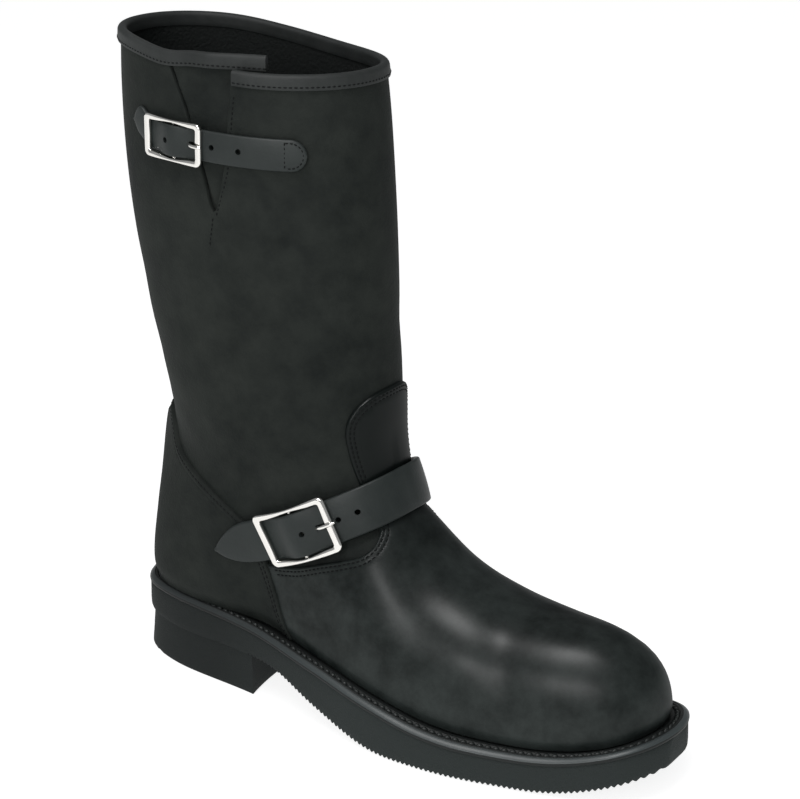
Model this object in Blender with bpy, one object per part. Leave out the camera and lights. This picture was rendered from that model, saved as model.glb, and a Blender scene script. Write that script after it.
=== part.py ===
"""A right engineer boot in black oiled leather on a black rubber sole, built in metres.

x runs from the heel to the toe, y towards the inner side of the foot and z up. The sizes are in
millimetres until the meshes are made. The origin ends up below the middle of the boot, on the floor.
"""

import bmesh
import bpy
import numpy as np

MM = 0.001

# Driving sizes, in millimetres
SOLE_LENGTH = 312.0
HEEL_HEIGHT = 22.0
HEEL_SHARE = 0.2917
BREAST_HOLLOW = 5.0
LEDGE = 8.0
WALL = 2.2
OVERLAY = 1.8
GAP = 0.3
WELT_THICKNESS = 3.6
WELT_BEVEL = 1.8
WELT_INNER = 13.4
# The tables below are drawn for a sole of this length and scaled to the one asked for
DRAWN_LENGTH = 312.0
SCALE = SOLE_LENGTH / DRAWN_LENGTH
HEEL_LENGTH = HEEL_SHARE * SOLE_LENGTH
TOE_SWING = 4.5 * SCALE
INSOLE_INSET = 14.0
INSOLE_ABOVE = 1.2
ANKLE_BLEND = 14.0 * SCALE
WIDEST_HALF = 55.0 * SCALE
# How far the outsole's side stands in at its foot, just above it and at its top
SOLE_EDGE = (1.2, 0.2, 0.6)
# How far the heel's side stands in, and the height, from the floor up
HEEL_SIDE = (
    (1.0, 0.0),
    (0.2, 1.2),
    (1.4, 15.0),
    (2.0, HEEL_HEIGHT - GAP),
)


def drawn(plain, rows):
    """A table whose first columns are shares and the others lengths to be scaled."""
    table = np.array(rows)
    table[:, plain:] *= SCALE
    return table


# Share of the sole's length, spread of the outer side, spread of the inner side.
# The half width is 2 * sqrt(s * (1 - s)) * spread, so both ends close round.
OUTLINE = drawn(1, [
    [0.00, 76.0, 76.0],
    [0.06, 62.0, 64.0],
    [0.14, 52.0, 52.5],
    [0.28, 43.5, 41.5],
    [0.42, 48.0, 38.0],
    [0.56, 54.5, 46.0],
    [0.68, 57.0, 56.5],
    [0.80, 57.0, 61.0],
    [0.90, 62.0, 63.0],
    [1.00, 79.0, 76.0],
])
# Share of the sole's length, the sole's lower face as a share of the heel's height, and the height of the
# welt's top face
SOLE_HEIGHTS = drawn(2, [
    [0.00, 1.00, 41.0],
    [0.12, 1.00, 42.0],
    [0.27, 1.00, 39.5],
    [0.34, 0.93, 37.2],
    [0.44, 0.47, 33.0],
    [0.56, 0.03, 26.0],
    [0.64, 0.00, 21.0],
    [0.74, 0.00, 18.5],
    [0.86, 0.09, 20.5],
    [1.00, 0.68, 33.0],
])
# Share of the foot's length, height of its top line above the welt
FOOT_TOP = drawn(1, [
    [0.00, 88.0],
    [0.12, 98.0],
    [0.25, 108.0],
    [0.40, 94.0],
    [0.50, 81.5],
    [0.60, 62.0],
    [0.70, 54.0],
    [0.80, 52.0],
    [0.90, 55.0],
    [1.00, 55.0],
])
TOE_ROUND_FROM = 0.72
TOE_ROUND_POWER = 2.4
FOOT_POWER = 2.25
LEAST_SCALE = 20.0 * SCALE
# Height, back x, front x, half width of the shaft
SHAFT = drawn(0, [
    [40.0, 6.5, 95.0, 33.5],
    [60.0, 7.0, 106.0, 35.0],
    [85.0, 16.0, 120.0, 35.0],
    [115.0, 31.0, 147.0, 37.0],
    [150.0, 21.5, 150.0, 41.0],
    [200.0, 9.5, 148.5, 43.5],
    [260.0, 0.5, 146.0, 45.5],
    [310.0, -0.8, 142.0, 45.8],
    [340.0, 0.4, 138.0, 44.4],
])
SHAFT_POWER = 2.2
# x, height of the leather's top edge
RIM = drawn(0, [
    [-5.0, 334.0],
    [30.0, 331.5],
    [58.0, 327.5],
    [94.0, 323.0],
    [145.0, 322.0],
])
# Share of the way up, height at the heel, height above the toe, ends of the line that the ring is cast from
RINGS = drawn(1, [
    [0.00, 41.0, 33.0, 45.0, 240.0],
    [0.06, 50.0, 50.0, 45.0, 228.0],
    [0.12, 59.0, 64.0, 45.0, 215.0],
    [0.20, 72.0, 78.0, 47.0, 186.0],
    [0.28, 84.0, 90.0, 49.0, 156.0],
    [0.36, 97.0, 101.0, 53.0, 131.0],
    [0.44, 109.0, 114.0, 58.0, 104.0],
    [0.50, 118.0, 135.0, 62.0, 85.0],
    [0.60, 155.0, 163.0, 66.0, 74.0],
    [1.00, 330.0, 330.0, 68.0, 68.0],
])
FLAT_FROM = 0.12
LEVEL_SPAN = 300.0 * SCALE
TILT_FROM = 0.6
RING_COUNT = 28
RING_POINTS = 36
OVERLAY_RINGS = 19
GUSSET_RING = 20
SEAM_GAP = 0.5
FAR = 90.0 * SCALE
ABOVE = RIM[0, 1] + 11.0
# x and height of the seam between counter and vamp, from the welt up
SEAM = drawn(0, [
    [113.0, 10.0],
    [112.5, 34.0],
    [110.6, 42.0],
    [105.8, 54.0],
    [101.8, 65.0],
    [98.5, 74.0],
])
# x and height of the vamp's upper edge, from the seam to the front of the shaft
VAMP_EDGE = drawn(0, [
    [116.0, 77.6],
    [132.0, 84.0],
    [147.0, 89.7],
    [155.0, 93.2],
    [159.0, 97.8],
    [159.0, 103.0],
    [154.5, 108.5],
    [150.0, 117.0],
    [146.0, 128.0],
    [142.8, 140.0],
    [141.6, 150.0],
    [143.2, 159.0],
    [146.5, 164.8],
    [151.5, 169.8],
    [159.0, 172.0],
])
# x and height of the counter's upper edge, from the seam to the back
COUNTER_EDGE = drawn(0, [
    [95.0, 82.5],
    [91.0, 90.5],
    [82.0, 97.6],
    [69.0, 105.3],
    [54.0, 112.0],
    [44.0, 115.6],
    [36.0, 118.6],
    [29.5, 123.0],
    [24.5, 130.5],
    [17.0, 136.0],
    [6.0, 138.5],
])
# x and height of the slit in the outer side of the shaft: its rear edge down, then its front edge up
SLIT = drawn(0, [
    [50.0, 345.0],
    [57.0, 322.0],
    [65.7, 304.0],
    [74.3, 277.0],
    [80.6, 255.5],
    [87.3, 277.0],
    [90.6, 304.0],
    [94.9, 345.0],
])
GUSSET_MARGIN = 7.0
GUSSET_THICKNESS = 1.6
GUSSET_TOP = RIM[2, 1]
GUSSET_STEP = 8.5
GUSSET_GAP = 0.6
GUSSET_MOUTH = (57.8 * SCALE, 92.9 * SCALE)
SLIT_REACH = 18.0
BINDING_HEIGHT = 5.5
BINDING_THICKNESS = 1.2
BINDING_TURNS = (-73.2, 240.0)
GUSSET_BINDING_TURNS = (-116.9, -77.9)
RIM_CENTRE = (68.0 * SCALE, 3.0 * SCALE)
RING_STEP = 10

# x and height of the ankle strap's middle line
ANKLE_LINE = drawn(0, [
    [55.0, 73.5],
    [70.0, 78.5],
    [98.0, 89.5],
    [120.5, 98.0],
    [143.0, 109.5],
    [155.0, 116.0],
    [166.0, 124.0],
    [180.0, 134.0],
])
ANKLE_WIDTH = 22.5
# The strap's axis, the turns it spans, and the turn at which it crosses the buckle's bar
ANKLE_AXIS = 110.0 * SCALE
ANKLE_TURNS = (-142.0, 112.0)
ANKLE_BAR_TURN = -72.0
# Along the strap from the bar: the point's tip, where it is full width, and the far end
ANKLE_REACH = (-55.0, -27.0, 141.0 * SCALE)
ANKLE_HOLES = (4.3, 23.3, 32.9)
ANKLE_BUCKLE_HALF = 21.0
# x and height of the top strap's middle line
TOP_LINE = drawn(0, [
    [20.0, 291.0],
    [60.0, 289.0],
    [100.0, 287.5],
    [150.0, 286.5],
])
TOP_WIDTH = 15.0
TOP_AXIS = 70.0 * SCALE
TOP_TURNS = (-142.0, -12.0)
TOP_BAR_TURN = -101.5
TOP_REACH = (-32.0, -22.5, 68.6)
TOP_HOLES = (-2.5, 22.5, 36.6)
TOP_BUCKLE_HALF = 17.6
TOP_SIZE = 0.86
STRAP_THICKNESS = 2.4
STRAP_CLEARANCE = 0.4
STRAP_BEVEL = 0.7
STRAP_SLACK = 1.6
SLACK_SPAN = (32.0, 130.0)
TIP_POWER = 1.7
LEAST_HALF = 1.4
# Buckle sizes for a size of 1: the ankle buckle is 1 and the top buckle smaller
BAR_LIFT = 3.8
BAR_HALF_SPAN = 16.0
BAR_RADIUS = 1.2
BAR_HEIGHT = 2.6
FRAME_LOW = 3.1
FRAME_HIGH = 6.1
FRAME_RAIL = 2.9
FRAME_CORNER = 4.5
FRAME_BEVEL = 0.24
FRAME_CHAMFER = 0.7
FRAME_SIDE_GAP = 0.35
SLOT = (7.2, 16.0, 1.8)
HOLE_RADIUS = 1.4
# Along, height, half width, half thickness of the prong
PRONG = np.array([
    [-3.2, 2.6, 1.2, 0.4],
    [-2.3, 1.2, 1.2, 0.4],
    [0.0, 0.75, 1.2, 0.35],
    [3.0, 0.85, 1.1, 0.4],
    [7.0, 1.35, 1.0, 0.6],
    [9.8, 2.5, 1.0, 0.9],
    [12.6, 4.8, 1.0, 1.0],
    [15.4, 6.7, 1.0, 1.0],
    [18.5, 7.45, 1.0, 1.0],
    [21.6, 7.5, 0.9, 0.9],
    [22.6, 7.3, 0.6, 0.6],
])


def through(table, column, at):
    """A smooth curve through one column of a table, read at the places given."""
    xs, ys = table[:, 0], table[:, column]
    at = np.clip(np.asarray(at, float), xs[0], xs[-1])
    step = np.diff(xs)
    slope = np.diff(ys) / step
    inner = (slope[:-1] * step[1:] + slope[1:] * step[:-1]) / (step[1:] + step[:-1])
    lean = np.concatenate([slope[:1], inner, slope[-1:]])
    i = np.clip(np.searchsorted(xs, at, side="right") - 1, 0, len(step) - 1)
    t = (at - xs[i]) / step[i]
    start = (2 * t**3 - 3 * t**2 + 1) * ys[i] + (t**3 - 2 * t**2 + t) * step[i] * lean[i]
    end = (3 * t**2 - 2 * t**3) * ys[i + 1] + (t**3 - t**2) * step[i] * lean[i + 1]
    return start + end


def centre_line(s):
    return TOE_SWING * np.clip((s - 0.35) / 0.65, 0, 1) ** 2


def half_width(s, inner, inset):
    spread = np.where(inner, through(OUTLINE, 2, s), through(OUTLINE, 1, s))
    return 2 * np.sqrt(np.clip(s * (1 - s), 0, None)) * spread * (WIDEST_HALF - inset) / WIDEST_HALF


def welt_top(x):
    return through(SOLE_HEIGHTS, 2, x / SOLE_LENGTH)


def sole_bottom(x):
    """The forefoot has a flat spot on the floor."""
    return np.maximum(HEEL_HEIGHT * through(SOLE_HEIGHTS, 1, x / SOLE_LENGTH), 0.0)


def field(x, y, z):
    """Below zero inside the leather body, and close to a distance near its face."""
    inset = LEDGE + OVERLAY + GAP
    length = SOLE_LENGTH - 2 * inset
    along = (x - inset) / length
    s = np.clip(along, 1e-4, 1 - 1e-4)
    middle = centre_line(s)
    half = np.maximum(half_width(s, y > middle, inset), 1e-3)
    t = np.clip((s - TOE_ROUND_FROM) / (1 - TOE_ROUND_FROM), 0, 1)
    high = through(FOOT_TOP, 1, s) * (1 - t**TOE_ROUND_POWER) ** (1 / TOE_ROUND_POWER)
    high = np.maximum(high, 1e-3)
    up = np.clip(z - welt_top(x), 0, None)
    r = ((np.abs(y - middle) / half) ** FOOT_POWER + (up / high) ** FOOT_POWER) ** (1 / FOOT_POWER)
    foot = (r - 1) * np.maximum(np.minimum(half, high), LEAST_SCALE)
    beyond = np.maximum(-along, along - 1) * length
    foot = np.where(beyond > 0, np.maximum(foot, 0) + beyond + 0.1, foot)
    back, front, wide = (through(SHAFT, column, z) for column in (1, 2, 3))
    deep = (front - back) / 2
    r = np.abs((x - (back + front) / 2) / deep) ** SHAFT_POWER + np.abs(y / wide) ** SHAFT_POWER
    shaft = (r ** (1 / SHAFT_POWER) - 1) * np.minimum(deep, wide)
    near = np.clip(ANKLE_BLEND - np.abs(foot - shaft), 0, None) / ANKLE_BLEND
    return np.minimum(foot, shaft) - near * near * ANKLE_BLEND / 4


def normals(points):
    """The outward direction of the body's face at each point."""
    x, y, z = points[..., 0], points[..., 1], points[..., 2]
    e = 0.25
    slope = np.stack([
        field(x + e, y, z) - field(x - e, y, z),
        field(x, y + e, z) - field(x, y - e, z),
        field(x, y, z + e) - field(x, y, z - e),
    ], -1)
    return slope / np.linalg.norm(slope, axis=-1, keepdims=True)


def cast(from_x, from_y, to_x, to_y, height):
    """Where level rays from inside the body reach its face, at the height that a rule gives for each x."""
    low = np.zeros(np.broadcast(from_x, to_x).shape)
    high = low + SOLE_LENGTH / 2
    for _ in range(22):
        mid = (low + high) / 2
        x = from_x + to_x * mid
        inside = field(x, from_y + to_y * mid, height(x)) < 0
        low = np.where(inside, mid, low)
        high = np.where(inside, high, mid)
    x = from_x + to_x * low
    return np.stack([x, from_y + to_y * low, height(x) + 0 * x], -1)


def body_rings():
    """Rings of points on the body's outer face, from the welt up to the rim."""
    v = np.linspace(0, 1, RING_COUNT)[:, None]
    turn = np.linspace(0, 2 * np.pi, RING_POINTS, endpoint=False)[None, :]
    heel, toe, first, last = (through_straight(RINGS, column, v) for column in (1, 2, 3, 4))

    def height(x):
        level = heel + (toe - heel) * np.clip(x / LEVEL_SPAN, 0, 1)
        low = welt_top(x) + GAP
        part = np.clip(v / FLAT_FROM, 0, 1)
        rise = np.clip((v - TILT_FROM) / (1 - TILT_FROM), 0, 1)
        return low + (level - low) * part + (through(RIM, 1, x) - level) * rise

    from_x = (first + last) / 2 - (last - first) / 2 * np.cos(turn)
    return cast(from_x, RIM_CENTRE[1] + 0 * from_x, -np.cos(turn), np.sin(turn), height)


def through_straight(table, column, at):
    return np.interp(at, table[:, 0], table[:, column])


def offset(rings, outward, by):
    """The rings moved along their normals, with the lowest ring kept just above the welt."""
    moved = rings + outward * by
    moved[0, :, 2] = welt_top(moved[0, :, 0]) + GAP
    return moved


# Meshes
def make(name, points, faces, material=None):
    mesh = bpy.data.meshes.new(name)
    mesh.from_pydata((np.asarray(points) * MM).tolist(), [], faces)
    work = bmesh.new()
    work.from_mesh(mesh)
    bmesh.ops.remove_doubles(work, verts=work.verts, dist=1e-7)
    bmesh.ops.recalc_face_normals(work, faces=work.faces)
    work.to_mesh(mesh)
    work.free()
    obj = bpy.data.objects.new(name, mesh)
    bpy.context.scene.collection.objects.link(obj)
    if material is not None:
        mesh.materials.append(material)
    return obj


def cutter(name, points, faces):
    obj = make(name, points, faces)
    obj.hide_render = True
    obj.display_type = "WIRE"
    return obj


def cut(obj, tool, operation="DIFFERENCE"):
    modifier = obj.modifiers.new(tool.name, "BOOLEAN")
    modifier.operation = operation
    modifier.object = tool
    modifier.solver = "EXACT"
    return obj


def smooth(obj, angle=35.0):
    for face in obj.data.polygons:
        face.use_smooth = True
    obj.data.set_sharp_from_angle(angle=np.radians(angle))
    return obj


def wall_faces(a, b, count, wrap, flip=False):
    """Triangles between two rows of points that start at a and b."""
    faces = []
    for i in range(count if wrap else count - 1):
        j = (i + 1) % count
        faces += [(a + i, a + j, b + j), (a + i, b + j, b + i)]
    return [face[::-1] for face in faces] if flip else faces


def shell(name, outer, inner, material, wrap=True):
    """A sheet of leather between two grids of the same size."""
    rows, count = outer.shape[:2]
    points = np.concatenate([outer.reshape(-1, 3), inner.reshape(-1, 3)])
    shift = rows * count
    faces = []
    for k in range(rows - 1):
        faces += wall_faces(k * count, (k + 1) * count, count, wrap)
        faces += wall_faces(shift + k * count, shift + (k + 1) * count, count, wrap, flip=True)
    faces += wall_faces(shift, 0, count, wrap)
    faces += wall_faces((rows - 1) * count, shift + (rows - 1) * count, count, wrap)
    if not wrap:
        for end in (0, count - 1):
            for k in range(rows - 1):
                a, b = k * count + end, (k + 1) * count + end
                side = [(a, b, shift + b), (a, shift + b, shift + a)]
                faces += side if end == 0 else [face[::-1] for face in side]
    return make(name, points, faces, material)


def loft(name, rings, material=None, closed=False):
    """Rings of the same number of points joined in order, with capped ends unless they close on themselves."""
    rings = [np.asarray(ring, float) for ring in rings]
    count = len(rings[0])
    faces = []
    for k in range(len(rings) if closed else len(rings) - 1):
        faces += wall_faces(k * count, (k + 1) % len(rings) * count, count, True)
    if not closed:
        last = (len(rings) - 1) * count
        faces += [tuple(range(count))[::-1], tuple(range(last, last + count))]
    return make(name, np.concatenate(rings), faces, material)


def slab(name, rings, material=None):
    """Level rings stacked up. The first point of each is its back and the caps run straight across."""
    count = len(rings[0])
    faces = []
    for k in range(len(rings) - 1):
        faces += wall_faces(k * count, (k + 1) * count, count, True)
    last = (len(rings) - 1) * count
    for base, flip in ((0, False), (last, True)):
        for i in range(count // 2):
            a, b = base + i, base + i + 1
            c, d = base + (count - i - 1) % count, base + (count - i) % count
            face = [p for n, p in enumerate((a, b, c, d)) if p not in (a, b, c, d)[:n]]
            faces.append(tuple(face[::-1] if flip else face))
    return make(name, np.concatenate(rings), faces, material)


def prism(name, outline, low=-FAR, high=FAR):
    """A cutter with the side view given, that runs across the boot."""
    count = len(outline)
    points = [(x, y, z) for y in (low, high) for x, z in outline]
    faces = [(i, (i + 1) % count, count + (i + 1) % count, count + i) for i in range(count)]
    faces += [tuple(range(count))[::-1], tuple(range(count, 2 * count))]
    return cutter(name, points, faces)


def paint(name, colour, roughness, metallic=0.0):
    material = bpy.data.materials.new(name)
    material.use_nodes = True
    shader = material.node_tree.nodes["Principled BSDF"]
    shader.inputs["Base Color"].default_value = (*colour, 1.0)
    shader.inputs["Roughness"].default_value = roughness
    shader.inputs["Metallic"].default_value = metallic
    material.diffuse_color = (*colour, 1.0)
    return material


# Sole pieces
def sole_outline(inset, count=64):
    turn = np.linspace(0, 2 * np.pi, count, endpoint=False)
    s = (1 - np.cos(turn)) / 2
    side = np.sin(turn)
    half = half_width(s, side > 0, inset)
    x = inset + s * (SOLE_LENGTH - 2 * inset)
    return x, centre_line(s) + np.sign(side) * half


def sole_ring(inset, height, raised=0.0):
    x, y = sole_outline(inset)
    return np.stack([x, y, height(x) + raised], 1)


def heel_ring(inset, z):
    """The heel seat's outline, with a hollow breast across the front."""
    share = HEEL_LENGTH / SOLE_LENGTH
    end = np.arccos(1 - 2 * share)
    turn = np.linspace(-end, end, 29)
    s = (1 - np.cos(turn)) / 2
    y = np.sign(turn) * half_width(s, turn > 0, 0.0)
    x = s * SOLE_LENGTH
    x = inset + x * (HEEL_LENGTH - 2 * inset) / HEEL_LENGTH
    y = y * (WIDEST_HALF - inset * 1.45) / WIDEST_HALF
    across = np.linspace(y[-1], y[0], 9)[1:-1]
    bow = 1 - (2 * (across - y[0]) / (y[-1] - y[0]) - 1) ** 2
    x = np.concatenate([x, x[-1] - BREAST_HOLLOW * bow])
    y = np.concatenate([y, across])
    return np.stack([x, y, np.full(len(x), z)], 1)


# Straps and buckles
class Path:
    """A band laid round the boot: places on it are given as along, across and out, in millimetres."""

    def __init__(self, axis_x, turns, middle, width, base_turn, cover):
        turn = np.radians(np.linspace(turns[0], turns[1], 121))
        dx, dy = np.cos(turn), np.sin(turn)
        rows = []
        slope = np.gradient(middle[:, 1], middle[:, 0])
        size = np.sqrt(1 + slope**2)
        start = cast(axis_x + 0 * dx, 0 * dx, dx, dy, lambda x: through(middle, 1, x))
        lean = np.interp(start[:, 0], middle[:, 0], slope / size)
        for share in (-0.5, 0.0, 0.5):
            line = middle.copy()
            line[:, 0] -= slope / size * share * width
            line[:, 1] += share * width / size
            away = start[:, 0] - lean * share * width - axis_x, start[:, 1]
            far = np.hypot(*away)
            points = cast(
                axis_x + 0 * dx, 0 * dx, away[0] / far, away[1] / far, lambda x, line=line: through(line, 1, x)
            )
            rows.append(points + normals(points) * cover)
        low, mid, high = rows
        self.chord = (low + high) / 2
        across = high - low
        self.across = across / np.linalg.norm(across, axis=1, keepdims=True)
        along = np.gradient(self.chord, axis=0)
        out = np.cross(along, self.across)
        out /= np.linalg.norm(out, axis=1, keepdims=True)
        self.out = out if (out * normals(mid)).sum() > 0 else -out
        self.bulge = np.clip(((mid - self.chord) * self.out).sum(1), 0, None)
        step = np.linalg.norm(np.diff(self.chord, axis=0), axis=1)
        reach = np.concatenate([[0], np.cumsum(step)])
        self.reach = reach - np.interp(np.radians(base_turn), turn, reach)

    def read(self, values, s):
        columns = [np.interp(s, self.reach, values[:, k]) for k in range(values.shape[1])]
        return np.stack(columns, -1)

    def at(self, s, w, h, follow=1.0):
        """Points at s along, w across and h out. follow is the share of the bulge below that a point takes."""
        s, w, h, follow = np.broadcast_arrays(s, w, h, follow)
        rise = h + follow * np.interp(s, self.reach, self.bulge)
        base = self.read(self.chord, s)
        return base + self.read(self.across, s) * w[..., None] + self.read(self.out, s) * rise[..., None]


def bar_lift(s, size):
    """How far the strap rises over the buckle's middle bar."""
    share = np.clip(np.abs(s) / (BAR_HALF_SPAN * size), 0, 1)
    return BAR_LIFT * size * np.cos(share * np.pi / 2) ** 2


def strap(name, path, stations, halves, size, slack, material):
    """A strap with bevelled outer edges.

    halves is its half width at each station, and slack how far its front stands off.
    """
    rings = []
    for s, half in zip(stations, halves):
        share = np.clip((s - SLACK_SPAN[0]) / (SLACK_SPAN[1] - SLACK_SPAN[0]), 0, 1)
        low = STRAP_CLEARANCE + bar_lift(s, size) + slack * np.sin(np.pi * share)
        high = low + STRAP_THICKNESS * (0.9 if size < 1 else 1.0)
        bevel = min(STRAP_BEVEL, half * 0.5)
        w = np.array([-half, 0, half, half, half - bevel, 0, bevel - half, -half])
        h = np.array([low, low, low, high - STRAP_BEVEL, high, high, high, high - STRAP_BEVEL])
        follow = np.array([0, 1, 0, 0, 0, 1, 0, 0], float) * min(1.0, half / (0.5 * ANKLE_WIDTH))
        rings.append(path.at(s, w, h, follow))
    return smooth(loft(name, rings, material))


def punch(name, path, holes, slot, size):
    """Cutters for a strap's holes and for the longer one that the prong comes up through."""
    points, faces = [], []
    outlines = [[(slot[0], -slot[2]), (slot[1], -slot[2]), (slot[1], slot[2]), (slot[0], slot[2])]]
    for s in holes:
        turn = np.radians(np.arange(0, 360, 60))
        outlines.append([(s + HOLE_RADIUS * np.cos(t), HOLE_RADIUS * np.sin(t)) for t in turn])
    for outline in outlines:
        count, base = len(outline), len(points)
        middle = sum(s for s, _ in outline) / count
        low = bar_lift(middle, size) - 1.5
        for h in (low, low + 1.5 + 2.3 * STRAP_THICKNESS):
            points += [path.at(s, w, h) for s, w in outline]
        faces += [tuple(base + i for i in range(count))[::-1], tuple(base + count + i for i in range(count))]
        faces += [
            (base + i, base + (i + 1) % count, base + count + (i + 1) % count, base + count + i)
            for i in range(count)
        ]
    return cutter(name, points, faces)


def corner_loop(half_long, half_across, radius, swell):
    """A rectangle with rounded corners. swell moves the middle of each side outward."""
    loop = []
    for turn in (0, 90, 180, 270):
        sx, sy = ((1, 1), (-1, 1), (-1, -1), (1, -1))[turn // 90]
        cx, cy = sx * (half_long - radius), sy * (half_across - radius)
        for step in (0, 30, 60, 90):
            t = np.radians(turn + step)
            loop.append((cx + radius * np.cos(t), cy + radius * np.sin(t)))
        middle = np.radians(turn + 90)
        loop.append(((half_long + swell) * np.cos(middle), (half_across + swell) * np.sin(middle)))
    return np.array(loop)


def buckle(name, path, half_long, half_across, size, material):
    """A buckle frame with a bar across its middle, and the prong that turns on the bar."""
    rail = FRAME_RAIL * size
    outer = corner_loop(half_long, half_across, FRAME_CORNER * size, -0.3)
    inner = corner_loop(half_long - rail, half_across - rail, 1.6 * size, 0.3)
    shares = (0.0, 0.0, FRAME_BEVEL, 1 - FRAME_BEVEL, 1.0, 1.0)
    edge = FRAME_HIGH - FRAME_CHAMFER
    heights = np.array([FRAME_LOW, edge, FRAME_HIGH, FRAME_HIGH, edge, FRAME_LOW]) * size
    rings = []
    for o, i in zip(outer, inner):
        spots = np.array([o + (i - o) * share for share in shares])
        rings.append(path.at(spots[:, 0], spots[:, 1], heights))
    frame = smooth(loft(name + "_buckle", rings, material, closed=True))
    turn = np.radians(np.arange(0, 360, 45))
    reach = half_across - 0.45 * rail
    rod = []
    for w in (-reach, reach):
        s = BAR_RADIUS * size * np.cos(turn)
        h = (BAR_HEIGHT + BAR_RADIUS * np.sin(turn)) * size
        rod.append(path.at(s, w, h))
    bar = loft(name + "_bar", rod)
    bar.hide_render = True
    bar.display_type = "WIRE"
    cut(frame, bar, "UNION")
    rings = []
    slope = np.gradient(PRONG[:, 1], PRONG[:, 0])
    shift = half_long - 21.0 * size
    for (s, h, wide, thick), lean in zip(PRONG * size, slope):
        tilt = np.arctan(np.clip(lean, -1.5, 1.5)) if s > 0 else np.arctan2(-1.4, 1.0) * min(1.0, -s / (2 * size))
        around = np.radians(np.arange(22.5, 360, 45))
        w = wide * np.cos(around)
        t = thick * np.sin(around)
        on = s + shift * np.clip(s / (18 * size), 0, 1)
        rings.append(path.at(on - t * np.sin(tilt), w, h + t * np.cos(tilt)))
    return frame, smooth(loft(name + "_prong", rings, material))


def rim_places(turns, height, rule):
    """Points on the body round its rim, at the height that the rule gives and lower by a binding's height."""
    start, end = turns
    inner = np.arange(np.ceil(start / RING_STEP) * RING_STEP, end, RING_STEP)
    turn = np.radians(np.concatenate([[start], inner[inner > start + 1], [end]]))
    from_x = RIM_CENTRE[0] + 0 * turn
    from_y = RIM_CENTRE[1] + 0 * turn
    top = cast(from_x, from_y, -np.cos(turn), np.sin(turn), rule)
    low = cast(from_x, from_y, -np.cos(turn), np.sin(turn), lambda x: rule(x) - height)
    return top, low


def binding(name, turns, rule, depth, thickness, material):
    """A folded strip over the edge of a wall whose outer face lies depth outside the body's."""
    top, low = rim_places(turns, BINDING_HEIGHT, rule)
    outward = normals(top)
    fold = BINDING_THICKNESS
    near, far = depth + GAP, depth - thickness - GAP
    section = [
        (near, 1.0, 0.0), (near + fold, 1.0, 0.0), (near + fold, 0.0, GAP + fold / 2),
        (near + fold / 2, 0.0, GAP + fold), (far - fold / 2, 0.0, GAP + fold), (far - fold, 0.0, GAP + fold / 2),
        (far - fold, 1.0, 0.0), (far, 1.0, 0.0), (far, 0.0, GAP), (near, 0.0, GAP),
    ]
    rings = []
    for a, b, n in zip(top, low, outward):
        ring = [a + (b - a) * down + n * out + np.array([0, 0, up]) for out, down, up in section]
        rings.append(ring)
    return smooth(loft(name, rings, material))


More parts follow.
